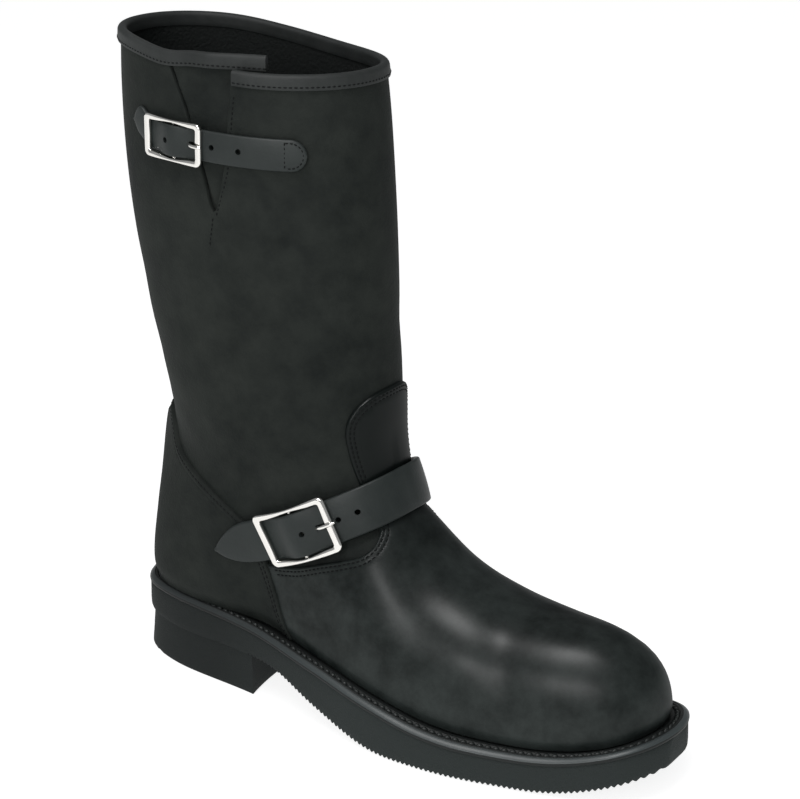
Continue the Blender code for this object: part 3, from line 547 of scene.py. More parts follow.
# Leather's soft creases: side, x and z of both ends, half width, height
CREASES = np.array([
    [-1, 40, 152, 92, 128, 9.0, -0.8],
    [-1, 30, 176, 82, 158, 10.0, -0.6],
    [-1, 96, 140, 150, 150, 10.0, 0.5],
    [-1, 92, 124, 140, 132, 7.0, -0.6],
    [-1, 120, 190, 152, 204, 9.0, -0.5],
    [-1, 22, 214, 64, 200, 12.0, -0.5],
    [-1, 150, 86, 176, 66, 8.0, -0.5],
    [-1, 176, 92, 188, 62, 8.0, -0.5],
    [-1, 200, 84, 214, 58, 10.0, 0.7],
    [-1, 226, 72, 236, 46, 8.0, -0.9],
    [-1, 252, 66, 262, 44, 9.0, 0.4],
    [1, 40, 150, 96, 130, 9.0, -0.8],
    [1, 34, 178, 88, 158, 10.0, -0.6],
    [1, 96, 142, 150, 148, 9.0, 0.5],
    [1, 110, 186, 150, 200, 10.0, -0.5],
    [1, 150, 88, 178, 66, 8.0, -0.6],
    [0, 150, 186, 150, 196, 8.0, -0.4],
])
# How far the leather turns in where it meets the welt and over what height, in front and at the heel
TUCK = ((1.7, 3.4), (3.3, 6.0))
TUCK_SPAN = (90.0, 150.0)


def relief(points):
    x, y, z = points[:, 0], points[:, 1], points[:, 2]
    total = np.zeros(len(points))
    for side, ax, az, bx, bz, wide, high in CREASES:
        far = to_line(x, z, ((ax, az), (bx, bz)))[0]
        share = soft(0.5 + side * y / 24.0) if side else soft(1 - np.abs(y) / 22.0)
        total += high * np.exp(-((far / wide) ** 2)) * share
    heel = soft((TUCK_SPAN[1] - x) / (TUCK_SPAN[1] - TUCK_SPAN[0]))
    deep, tall = (TUCK[0][k] + (TUCK[1][k] - TUCK[0][k]) * heel for k in (0, 1))
    return total - deep * np.exp(-((np.clip(z - welt_top(x), 0, None) / tall) ** 2))


# Materials
class Look:
    """A material whose nodes are made one by one. A value is a constant, or another node's output."""

    def __init__(self, name):
        self.material = bpy.data.materials.new(name)
        self.material.use_nodes = True
        self.tree = self.material.node_tree
        self.shader = self.tree.nodes["Principled BSDF"]
        self.where = self.tree.nodes.new("ShaderNodeTexCoord").outputs["Object"]

    def fill(self, node, values):
        for key, value in values.items():
            if isinstance(value, bpy.types.NodeSocket):
                self.tree.links.new(value, node.inputs[key])
            else:
                node.inputs[key].default_value = value
        return node

    def add(self, kind, values, **settings):
        node = self.tree.nodes.new("ShaderNode" + kind)
        for key, value in settings.items():
            setattr(node, key, value)
        return self.fill(node, values)

    def noise(self, scale, detail, rough=0.5):
        values = {"Vector": self.where, "Scale": scale, "Detail": detail, "Roughness": rough}
        return self.add("TexNoise", values).outputs["Fac"]

    def ramp(self, source, *spans):
        names = ("Value", "From Min", "From Max", "To Min", "To Max")
        return self.add("MapRange", dict(zip(names, (source, *spans)))).outputs["Result"]

    def math(self, operation, *values):
        return self.add("Math", dict(enumerate(values)), operation=operation).outputs["Value"]

    def part(self, axis):
        return self.add("SeparateXYZ", {"Vector": self.where}).outputs[axis]

    def mix(self, share, dark, light):
        values = {"Factor": share, "A": (*dark, 1), "B": (*light, 1)}
        return self.add("Mix", values, data_type="RGBA").outputs["Result"]

    def bump(self, height, strength, depth, **more):
        values = {"Height": height, "Strength": strength, "Distance": depth, **more}
        return self.add("Bump", values).outputs["Normal"]


def leather(name, dark, light, roughness, gloss, specular, grain=1.0, wear=0.12, bump=0.3, low=None):
    """Waxed leather: mottled, finely grained and softly worn, with a thin coat, and with painted shade above
    the heights in low.
    """
    look = Look(name)
    broad, cloud, fine = look.noise(16.0, 4.0, 0.6), look.noise(75.0, 6.0, 0.68), look.noise(900.0, 3.0)
    clouds, patches = look.ramp(cloud, 0.36, 0.64, 0.0, 0.5), look.ramp(broad, 0.35, 0.68, 0.0, 0.6)
    share = look.math("MULTIPLY_ADD", clouds, 1.0, patches)
    # Painted shade: above the heights in low the colour is drawn to the dark tone.
    if low:
        share = look.math("MULTIPLY", share, look.ramp(look.part("Z"), *low, 1.0, 0.0))
    cells = look.add("TexVoronoi", {"Vector": look.where, "Scale": 640.0}).outputs["Distance"]
    nap = look.bump(look.math("MULTIPLY_ADD", cells, 0.6, fine), bump, 0.00022 * grain)
    look.fill(look.shader, {
        "Base Color": look.mix(share, dark, light),
        "Roughness": look.ramp(cloud, 0.3, 0.7, roughness - wear / 2, roughness + wear / 2),
        "Specular IOR Level": specular,
        "Coat Weight": gloss,
        "Coat Roughness": 0.36,
        "Normal": look.bump(cloud, 0.35, 0.0006, Normal=nap),
    })
    return look.material


def plain(name, colour, roughness, metallic=0.0, scale=1200.0, depth=0.00012, strength=0.3, specular=0.2,
          painted_shade=None):
    """One colour on a slightly uneven face, with painted shade along x when asked for: two places along x and
    how dark the colour is at the first.
    """
    look = Look(name)
    base = (*colour, 1)
    # Painted shade: the colour darkens towards the first place along x.
    if painted_shade:
        share = look.ramp(look.part("X"), *painted_shade[:2])
        base = look.mix(share, [painted_shade[2] * value for value in colour], colour)
    look.fill(look.shader, {
        "Base Color": base,
        "Roughness": roughness,
        "Metallic": metallic,
        "Specular IOR Level": specular,
        "Normal": look.bump(look.noise(scale, 3.0), strength, depth),
    })
    return look.material


# Painted shade on the heel end of the sole and welt: where along the frame's x it is darkest, where they have
# their full colour, and the share of it that is left at the first
HEEL_PAINTED_SHADE = (-0.09, 0.0, 0.5)
SHAFT_LEATHER = leather(
    "shaft_leather", (0.0062, 0.0085, 0.0078), (0.0222, 0.0258, 0.0228), 0.75, 0.0, 0.10, 1.6, bump=0.5,
)
# The vamp's upper part, above the ankle strap, carries painted shade: its colour goes dark between 0.085 and
# 0.125 m up.
VAMP_LEATHER = leather(
    "vamp_leather", (0.0055, 0.0078, 0.0072), (0.0335, 0.0405, 0.0385), 0.5, 0.26, 0.0, 0.9, 0.2,
    low=(0.085, 0.125),
)
STRAP_LEATHER = leather(
    "strap_leather", (0.015, 0.0195, 0.0188), (0.025, 0.031, 0.0296), 0.50, 0.0, 0.22, 0.8,
)
BINDING_LEATHER = leather(
    "binding_leather", (0.015, 0.0175, 0.017), (0.033, 0.0365, 0.0355), 0.6, 0.0, 0.18,
)
LINING = plain("lining", (0.009, 0.011, 0.0105), 0.9, scale=700.0, depth=0.0009, strength=0.9, specular=0.12)
THREAD = plain("thread", (0.003, 0.004, 0.004), 0.6, specular=0.1)
WELT_THREAD = plain("welt_thread", (0.018, 0.022, 0.021), 0.5, specular=0.25)
# The welt and sole go darker towards the heel: painted shade.
WELT_RUBBER = plain("welt_rubber", (0.013, 0.0155, 0.015), 0.55, scale=500.0, specular=0.2, painted_shade=HEEL_PAINTED_SHADE)
WELT_EDGE = plain("welt_edge", (0.052, 0.063, 0.064), 0.42, scale=300.0, specular=0.3, painted_shade=HEEL_PAINTED_SHADE)
SOLE_RUBBER = plain(
    "sole_rubber", (0.026, 0.032, 0.031), 0.7, scale=1500.0, depth=0.0005, strength=0.7, specular=0.12,
    painted_shade=HEEL_PAINTED_SHADE,
)
NICKEL = plain(
    "nickel", (0.80, 0.785, 0.75), 0.14, 1.0, scale=260.0, depth=0.00004, strength=0.4, specular=0.5,
)


# Stitches
def along(points, pitch):
    """Places and directions at even steps of a line."""
    step = np.linalg.norm(np.diff(points, axis=0), axis=1)
    reach = np.concatenate([[0], np.cumsum(step)])
    if reach[-1] < pitch:
        return np.zeros((0, 3)), np.zeros((0, 3))
    at = np.arange(pitch / 2, reach[-1], pitch)
    place, ahead, behind = (
        np.stack([np.interp(at + shift, reach, points[:, k]) for k in range(3)], -1)
        for shift in (0.0, pitch / 4, -pitch / 4)
    )
    line = ahead - behind
    return place, line / np.maximum(np.linalg.norm(line, axis=1, keepdims=True), 1e-9)


def squared(step, other):
    """The part of each step that is square to another."""
    return step - other * (step * other).sum(1, keepdims=True)


def stitch_mesh(runs, length, radius, twist):
    """Short arched threads. runs holds places, directions and outward normals."""
    shares = np.array([-1.0, -0.85, -0.4, 0.0, 0.4, 0.85, 1.0])
    wide = np.array([0.25, 0.7, 1.0, 1.0, 1.0, 0.7, 0.25])
    sink = np.array([-0.9, -0.35, 0.1, 0.22, 0.1, -0.35, -0.9])
    turn = np.radians(np.arange(0, 360, 60))
    points, faces = [], []
    base = 0
    for place, line, out in runs:
        side = np.cross(out, line)
        line = line * np.cos(twist) + side * np.sin(twist)
        side = np.cross(out, line)
        for p, t, s, o in zip(place, line, side, out):
            middle = p + t * (shares * length / 2)[:, None] + o * (sink * radius)[:, None]
            around = s * np.cos(turn)[:, None] + o * np.sin(turn)[:, None]
            ring = middle[:, None] + around[None] * (wide * radius)[:, None, None]
            got, more = sweep(ring, base=base)
            points.append(got)
            faces += more
            base += len(got)
    return np.concatenate(points), faces


def stitch_piece(name, runs, length=2.0, radius=0.36, twist=0.0, material=None):
    runs = [run for run in runs if len(run[0])]
    points, faces = stitch_mesh(runs, length, radius, twist)
    return piece(name, points, faces, material or THREAD, angle=60.0)


def rows_on(runs, pitch, height):
    """Stitch places on the leather, height above the body's face."""
    out = []
    for points in runs:
        place, line = along(points, pitch)
        if len(place):
            up = normals(place)
            high = height(place) if callable(height) else height
            out.append((place + up * (high + relief(place))[:, None], squared(line, up), up))
    return out


# Upper, vamp and counter
# How far in front of the seam the counter's edge lies
COUNTER_LAP = 1.2
SEAM_LINE = curve(SEAM, 24)
VAMP_LINE = curve(np.concatenate([SEAM[-1:] + [[9.0, 1.5]], VAMP_EDGE]), 110)
COUNTER_SEAM = SEAM_LINE + [COUNTER_LAP, 0.0]
COUNTER_LINE = curve(np.concatenate([SEAM, COUNTER_EDGE]) + [[COUNTER_LAP, 0.0]], 90)
THROUGH_TOE, THROUGH_HEEL, UNDER = SOLE_LENGTH + FAR, -FAR, SEAM[0, 1] - 20.0
FULL = GAP + OVERLAY
EDGE_ROUND = 1.2
SEAM_LAP = 5.0
SEAM_STEP = 1.3
# Levels and points round of the sheets that vamp and counter are cut from
LOW_LEVELS = np.linspace(0, 0.66, 96)
LOW_COUNT = 220
# A sheet's column that holds the distance from its edge
EDGE = 6
# Distances from an edge of its two rows of stitches, a groove's half width and depth, and how far below
# the leather's face its threads lie
STITCH_ROWS = (2.2, 4.4)
STITCH_TRENCH = 0.45
TRENCH_DEPTH = 0.25
THREAD_SINK = 0.12
# Distances from an edge that need points, for its rounding and for the grooves
EDGE_LEVELS = {0.15, 0.5, 1.2, *(row + step for row in STITCH_ROWS for step in (-0.7, 0.0, 0.7))}
STITCH_PITCH = 2.6


def sheet_from(levels, count, columns, lift=0.0):
    """A fine sheet on the body: places, outward steps, then what the rules give at a lifted place."""
    points = body_rings(levels, count).reshape(-1, 3)
    outward = normals(points)
    lifted = points + outward * lift
    values = [column(lifted, outward)[:, None] for column in columns]
    return np.concatenate([points, outward] + values, axis=1), grid_faces(len(levels), count)


def over(data, high):
    """A sheet's places at a height over the body, and the unit steps outward."""
    step = data[:, 3:6] / np.linalg.norm(data[:, 3:6], axis=1, keepdims=True)
    return data[:, :3] + step * high[:, None], step


def trench(far):
    """The shallow grooves that the stitches lie in."""
    return sum(-TRENCH_DEPTH * np.exp(-(((far - row) / STITCH_TRENCH) ** 2)) for row in STITCH_ROWS)


def cut_sheet(data, tris, levels):
    """A sheet cut off at its edge, with lines of points at these distances from it."""
    tris = tris[(data[tris, EDGE] > -12).any(1)]
    data, tris = split(data, tris, EDGE, 0.0)
    tris = keep_above(data, tris, EDGE, 0.0)
    for level in sorted(levels):
        data, tris = split(data, tris, EDGE, level)
    return data, tris


# Vamp
vamp_cut = SEAM_LINE - [SEAM_LAP, 0.0]
vamp_ring = np.concatenate([
    vamp_cut, VAMP_LINE, [[THROUGH_TOE, VAMP_EDGE[-1, 1]], [THROUGH_TOE, UNDER], [vamp_cut[0, 0], UNDER]],
])
vamp_line = np.concatenate([vamp_cut, VAMP_LINE, [[THROUGH_TOE, VAMP_EDGE[-1, 1]]]])
data, tris = sheet_from(LOW_LEVELS, LOW_COUNT, [lambda p, n: edge_distance(p, n, vamp_line, vamp_ring)], FULL)
data, tris = cut_sheet(data, tris, EDGE_LEVELS)
vamp_rows = [run for row in STITCH_ROWS for run in chains(data, tris, EDGE, row)]
data, tris = tidy_sheet(data, tris)
high = (FULL + 0.1) * rise(data[:, EDGE] / EDGE_ROUND) - 0.1 + trench(data[:, EDGE])
points, step = over(data, high + relief(data))
piece("vamp_leather", points, tris, VAMP_LEATHER, ["vamp"], outward=step, angle=0)
vamp_rows = [run[to_line(run[:, 0], run[:, 2], SEAM_LINE)[0] > 3.0] for run in vamp_rows]
stitch_piece("vamp_stitches", rows_on(vamp_rows, STITCH_PITCH, FULL - THREAD_SINK))

# Counter
counter_ring = np.concatenate([
    COUNTER_LINE, [[THROUGH_HEEL, COUNTER_EDGE[-1, 1]], [THROUGH_HEEL, UNDER], [COUNTER_LINE[0, 0], UNDER]],
])
counter_line = np.concatenate([
    [[COUNTER_LINE[0, 0], UNDER]], COUNTER_LINE, [[THROUGH_HEEL, COUNTER_EDGE[-1, 1]]],
])
columns = [
    lambda p, n: edge_distance(p, n, counter_line, counter_ring),
    lambda p, n: edge_distance(p, n, COUNTER_SEAM),
]
data, tris = sheet_from(LOW_LEVELS, LOW_COUNT, columns, FULL)
data, tris = cut_sheet(data, tris, EDGE_LEVELS)
counter_rows, seam_rows = (chains(data, tris, EDGE, row) for row in STITCH_ROWS)
data, tris = tidy_sheet(data, tris)


def counter_high(far, seam_far):
    """The counter's height over the body. It steps up where it laps the vamp at the seam."""
    floor = -0.1 + (FULL + 0.1) * np.clip(1.5 - seam_far / 2, 0, 1)
    top = FULL + SEAM_STEP * soft(1 - seam_far / 10.0)
    return floor + (top - floor) * rise(far / EDGE_ROUND)


high = counter_high(data[:, EDGE], data[:, EDGE + 1]) + trench(data[:, EDGE])
points, step = over(data, high + relief(data))
piece("counter_leather", points, tris, SHAFT_LEATHER, ["counter"], outward=step, angle=0)
seam_far = lambda p: to_line(p[:, 0], p[:, 2], COUNTER_SEAM)[0]
on_counter = lambda p: FULL + SEAM_STEP * soft(1 - seam_far(p) / 10.0) - THREAD_SINK
seam_rows = [run[(seam_far(run) < 5.5) & (run[:, 2] < 84)] for run in seam_rows]
stitch_piece("counter_stitches", rows_on(counter_rows + seam_rows, STITCH_PITCH, on_counter))

# Shaft
SLIT_LINE = curve(SLIT, 80)
slit_ring = np.concatenate([SLIT_LINE, [[SLIT_LINE[-1, 0], ABOVE + 40], [SLIT_LINE[0, 0], ABOVE + 40]]])


def slit_distance(p, n):
    far = edge_distance(p, n, SLIT_LINE)
    return np.where(p[:, 1] > 0, 60.0, np.where(inside(p[:, 0], p[:, 2], slit_ring), -far, far))


data, tris = sheet_from(np.linspace(0.0, 1.0, 112), 176, [slit_distance])
data, tris = tidy_sheet(*cut_sheet(data, tris, (0.3, 1.0)))
front_edge = soft((data[:, 0] - SLIT[4, 0]) / 2.0) * soft((data[:, 2] - SLIT[4, 1]) / 12.0)
lip = 0.4 * front_edge * np.exp(-(((data[:, EDGE] - 0.8) / 0.8) ** 2))
outer, step = over(data, relief(data) - 0.9 * (1 - rise(data[:, EDGE])) + lip)
inner, _ = over(data, np.full(len(data), -WALL))
count = len(data)
edges = triangle_edges(tris)
key = np.sort(edges, axis=1)
_, first, times = np.unique(key, axis=0, return_index=True, return_counts=True)
rim_edges = edges[first[times == 1]]
join = np.concatenate([
    np.stack([rim_edges[:, 1], rim_edges[:, 0], rim_edges[:, 0] + count], -1),
    np.stack([rim_edges[:, 1], rim_edges[:, 0] + count, rim_edges[:, 1] + count], -1),
])
faces = np.concatenate([tris, tris[:, ::-1] + count, join])
a, b, c = (outer[tris[:, k]] for k in range(3))
if (np.cross(b - a, c - a) * step[tris[:, 0]]).sum() < 0:
    faces = faces[:, ::-1]
tags = np.concatenate([np.zeros(len(tris)), np.ones(len(tris)), np.zeros(len(join))])
piece("upper_leather", np.concatenate([outer, inner]), faces, [SHAFT_LEATHER, LINING], ["upper"],
      angle=50, tags=tags)


def on_body(x, z, side):
    """Places on the body's side at places of the side view."""
    low, high = np.zeros(len(x)), np.full(len(x), 80.0)
    for _ in range(26):
        mid = (low + high) / 2
        within = field(x, side * mid, z) < 0
        low, high = np.where(within, mid, low), np.where(within, high, mid)
    return np.stack([x, side * low, z], -1)


slit_front = curve(np.concatenate([SLIT[4:5] + [[1.7, -1.0]], SLIT[5:] + [[2.5, 0.0]]]), 60)
slit_front = slit_front[slit_front[:, 1] < 315]
slit_tail = curve(np.array([SLIT[4] - [0.3, 2.0], SLIT[4] - [3.0, 16.0]]), 8)
slit_runs = [on_body(line[:, 0], line[:, 1], -1.0) for line in (slit_front, slit_tail)]
stitch_piece("slit_stitches", rows_on(slit_runs, 2.4, 0.02), length=1.8, radius=0.34)

# Gusset
DEEP = -WALL - GUSSET_GAP
# How far the gusset comes forward at the slit's rear edge
RAISED = 2.1
# Where the strip starts in front and ends over the gusset, how high it stands there, and how much deeper
# it passes the front part
STRIP_START = 241.6
STRIP_END = -134.0
STRIP_TOP = 329.5
BEHIND = 3.0
# Turn round the rim, depth of the strip's middle below the body's face
STRIP_DEPTH = np.array([
    [-134.0, -6.6], [-121.0, -6.3], [-112.0, -4.45], [-104.0, -2.6], [-96.0, -2.25], [-84.0, -1.7],
    [-73.0, -1.2], [-66.0, -1.1], [245.0, -1.1],
])
gz = np.linspace(SLIT[4, 1] - SLIT_REACH, STRIP_TOP - 0.8, 64)
slit_rear_x = np.interp(gz, SLIT[4::-1, 1], SLIT[4::-1, 0])
slit_front_x = np.interp(gz, SLIT[4:, 1], SLIT[4:, 0])
near_top = soft((gz - 300.0) / 16.0)
rear_x = slit_rear_x - GUSSET_MARGIN
rear_x += near_top * (slit_rear_x - 1.5 - rear_x)
front_x = slit_front_x + GUSSET_MARGIN + near_top * 6.0
share = np.linspace(0, 1, 44)
gx = rear_x[:, None] + (front_x - rear_x)[:, None] * share[None, :]
places = on_body(gx.ravel(), np.repeat(gz, len(share)), -1.0)
out = normals(places)
from_rear = gx - slit_rear_x[:, None]
to_front = gx - slit_front_x[:, None]
wide = np.maximum(slit_front_x - slit_rear_x, 1.0)[:, None]
forward = 1 - np.clip(from_rear / wide, 0, 1)
raised = RAISED * soft((from_rear + 0.1) / 1.6) * forward * soft((gz - 256) / 8)[:, None]
lowered = BEHIND * soft((to_front + 16.0) / 17.0) * near_top[:, None]
dip = (raised - lowered).ravel()
outer_face = places + out * (DEEP + dip)[:, None]
inner_face = places + out * (DEEP + dip - GUSSET_THICKNESS)[:, None]
flat = grid_faces(len(gz), len(share), wrap=False)
rows, cols = len(gz), len(share)
border = np.concatenate([
    np.arange(cols), np.arange(1, rows) * cols + cols - 1, (rows - 1) * cols + np.arange(cols - 2, -1, -1),
    np.arange(rows - 2, 0, -1) * cols,
])
ahead = np.roll(border, -1)
count = len(places)
rimmed = np.concatenate([
    np.stack([border, ahead, ahead + count], -1), np.stack([border, ahead + count, border + count], -1),
])
gusset_points = np.concatenate([outer_face, inner_face])
piece("gusset_leather", gusset_points, np.concatenate([flat, flat[:, ::-1] + count, rimmed]), SHAFT_LEATHER,
      ["gusset"], angle=50)

# Bindings: one folded strip round the rim that runs on over the gusset
turn = np.concatenate([np.arange(STRIP_START, -70, -2.0), np.arange(-70, STRIP_END, -1.5)])
cos, sin = -np.cos(np.radians(turn)), np.sin(np.radians(turn))
start_x, start_y = RIM_CENTRE[0] + 0 * turn, RIM_CENTRE[1] + 0 * turn
past = soft((-62.0 - turn) / 32.0)


def rim_rule(drop):
    def rule(x):
        return through(RIM, 1, x) * (1 - past) + STRIP_TOP * past - drop
    return rule


top = cast(start_x, start_y, cos, sin, rim_rule(0.0))
low = cast(start_x, start_y, cos, sin, rim_rule(BINDING_HEIGHT))
out = normals((top + low) / 2)
half = (WALL * (1 - past) + GUSSET_THICKNESS * past) / 2 + GAP + BINDING_THICKNESS - 0.3
middle = through(STRIP_DEPTH, 1, turn)
arc = np.radians(np.linspace(0, 180, 11))
section = [(0.72, 1.02), (0.93, 1.0), (1.0, 0.9), (1.02, 0.6), (1.0, 0.3)]
section += [(np.cos(t), 0.12 - 0.4 * np.sin(t)) for t in arc]
section += [(-1.0, 0.3), (-1.02, 0.6), (-1.0, 0.9), (-0.93, 1.0), (-0.72, 1.02)]
rings = []
for a, b, n, h, m in zip(top, low, out, half, middle):
    n = n * [1, 1, 0.3]
    n = n / np.linalg.norm(n)
    rings.append([a + (b - a) * down + n * (m + h * wide) for wide, down in section])
strip, faces = sweep(rings)
piece("collar_strip", strip, faces, BINDING_LEATHER, ["collar_binding", "gusset_binding"],
      angle=50)
rail = top + (low - top) * 0.76 + out * (middle + half * 1.01)[:, None]
place, line = along(rail, 2.5)
up = normals(place)
stitch_piece("collar_stitches", [(place - up * 0.05, line, up)], length=1.9, radius=0.34)


# Welt
def sole_line(inset, raised, count=420):
    x, y = sole_outline(inset, count)
    return np.stack([x, y, welt_top(x) + raised], 1)


# How far in from the sole's outline and how far above the welt's top, round the welt's section
WELT_SECTION = (
    (WELT_INNER, -WELT_THICKNESS), (0.5, -WELT_THICKNESS), (0.1, -3.3), (0.0, -2.5), (0.1, -1.9),
    (0.5, -1.35), (1.3, -0.7), (2.0, -0.25), (2.7, -0.05), (3.1, -0.35), (3.5, -0.1), (4.1, 0.0), (4.6, -0.8),
    (5.6, -1.05), (6.6, -0.8), (7.1, 0.0), (8.6, 0.05), (9.6, -0.4), (11.0, -0.9), (WELT_INNER, -1.4),
)
rings = np.stack([sole_line(inset, raised) for inset, raised in WELT_SECTION], 1)
welt_points, welt_faces = sweep(rings, closed=True)
section_count = len(WELT_SECTION)
tags = [1 if 4 <= (i % section_count) <= 7 else 0 for i in range(len(welt_faces))]
piece("welt_strip", welt_points, welt_faces, [WELT_RUBBER, WELT_EDGE], ["welt"], angle=50, tags=tags)
rail = sole_line(5.6, -0.45)
rail = np.concatenate([rail, rail[:1]])
place, line = along(rail, 4.1)
up = squared(np.tile([0.0, 0.0, 1.0], (len(place), 1)), line)
up = up / np.linalg.norm(up, axis=1, keepdims=True)
stitch_piece("welt_stitches", [(place, line, up)], length=3.7, radius=0.8, twist=0.18,
             material=WELT_THREAD)

# Outsole
RIB_PITCH = 2.6
RIB_DEPTH = 1.8


def sole_half(x, inset):
    s = np.clip((x - inset) / (SOLE_LENGTH - 2 * inset), 0, 1)
    left = centre_line(s) - half_width(s, np.zeros(s.shape, bool), inset)
    right = centre_line(s) + half_width(s, np.ones(s.shape, bool), inset)
    return left, right


def ribbed(x, start):
    """Depth of the tread's grooves, which run across the sole."""
    share = ((x - start) / RIB_PITCH) % 1.0
    return RIB_DEPTH * np.clip(1.15 * np.abs(2 * share - 1) - 0.15, 0, 1)


rib_start = HEEL_LENGTH - BREAST_HOLLOW + 1.5
x_fore = np.arange(rib_start, SOLE_LENGTH - 1.2, RIB_PITCH / 6)
x_back = SOLE_EDGE[0] + (rib_start - SOLE_EDGE[0]) * (1 - np.cos(np.linspace(0, np.pi / 2, 40)))
x_tip = SOLE_LENGTH - SOLE_EDGE[0] - 1.2 * np.array([0.6, 0.35, 0.15, 0.04, 0.0])
stations = np.concatenate([x_back[:-1], x_fore[x_fore < x_tip[0] - 0.2], x_tip])
deep = np.where(stations > rib_start, ribbed(stations, rib_start), 0.0)
# How far in the side stands, share of its height, and share of the tread's depth, from the floor up
SOLE_SIDE = (
    (1.4, 0.0, 1.0), (0.7, 0.03, 0.9), (0.25, 0.12, 0.0), (0.15, 0.3, 0.0), (0.3, 0.6, 0.0),
    (0.45, 0.92, 0.0), (1.0, 1.0, 0.0),
)
floor = sole_bottom(stations)
roof = welt_top(stations) - WELT_THICKNESS - 0.15
rows = []
for inset, share, rib in SOLE_SIDE:
    left, right = sole_half(stations, inset)
    rows.append((left, right, floor + (roof - floor) * share + deep * rib))
loop = [(side, row) for side, order in ((0, rows), (1, rows[::-1])) for row in order]
rings = np.stack([np.stack([stations, row[side], row[2]], -1) for side, row in loop], 1)
sole_points, sole_faces = sweep(rings)
piece("outsole_rubber", sole_points, sole_faces, SOLE_RUBBER, ["outsole"], angle=30)


# Heel
def heel_loop(inset, z, count=150, across_count=30):
    """The heel seat's outline, with a hollow breast across the front."""
    end = np.arccos(1 - 2 * HEEL_LENGTH / SOLE_LENGTH)
    turn = np.linspace(-end, end, count)
    s = (1 - np.cos(turn)) / 2
    y = np.sign(turn) * half_width(s, turn > 0, 0.0)
    x = inset + s * SOLE_LENGTH * (HEEL_LENGTH - 2 * inset) / HEEL_LENGTH
    y = y * (WIDEST_HALF - inset * 1.45) / WIDEST_HALF
    across = np.linspace(y[-1], y[0], across_count)[1:-1]
    bow = 1 - (2 * (across - y[0]) / (y[-1] - y[0]) - 1) ** 2
    x = np.concatenate([x, x[-1] - BREAST_HOLLOW * bow])
    y = np.concatenate([y, across])
    return np.stack([x, y, z + 0 * x], 1)


# How far in the heel's side stands and its height, from the floor up
HEEL_PROFILE = (
    (1.2, 0.0), (0.5, 0.35), (0.2, 1.2), (0.5, 4.5), (1.0, 9.0), (1.5, 15.0), (1.9, 19.0), (2.0, 21.6),
)
rings = [heel_loop(inset, z) for inset, z in HEEL_PROFILE]
back = np.clip(1 - rings[0][:, 0] / 26.0, 0, 1) * (np.arange(len(rings[0])) < 150)
teeth = 1.1 * soft(back * 3) * (0.5 + 0.5 * np.cos(rings[0][:, 1] * 2 * np.pi / RIB_PITCH))
for ring, share in zip(rings[:2], (1.0, 0.8)):
    ring[:, 2] += teeth * share
heel_points, heel_faces = sweep(rings)
piece("heel_rubber", heel_points, heel_faces, SOLE_RUBBER, ["heel"], angle=35)
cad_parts["insole"].material_slots[0].material = LINING


# Straps and buckles
# The part of the prong's slot that shows, from the bar, and its half width
OPEN_SLOT = (11.6, 16.2, 1.5)
# How full the straps' points are, and how much shorter the top strap's is than its solid's
ROUND_TIP = 2.1
TOP_TRIM = 2.5
# How much lower a strap's lower face lies than its solid's
STRAP_SINK = 0.25
# How far the ankle strap's point droops, where that starts and where it is full
ANKLE_TAIL = (-1.0, -30.0, -54.0)
# How far the top strap's point lies above its middle line, and where that starts and is full
TAIL_RISE = (4.2, -16.0, -25.0)


def strap_low(s, size, slack):
    """How high a strap's lower face runs: it rises over the buckle's bar and hangs slack behind it."""
    share = np.clip((s - SLACK_SPAN[0]) / (SLACK_SPAN[1] - SLACK_SPAN[0]), 0, 1)
    return STRAP_CLEARANCE + bar_lift(s, size) + slack * np.sin(np.pi * share)


def strap_thickness(size):
    return STRAP_THICKNESS * (0.9 if size < 1 else 1.0)


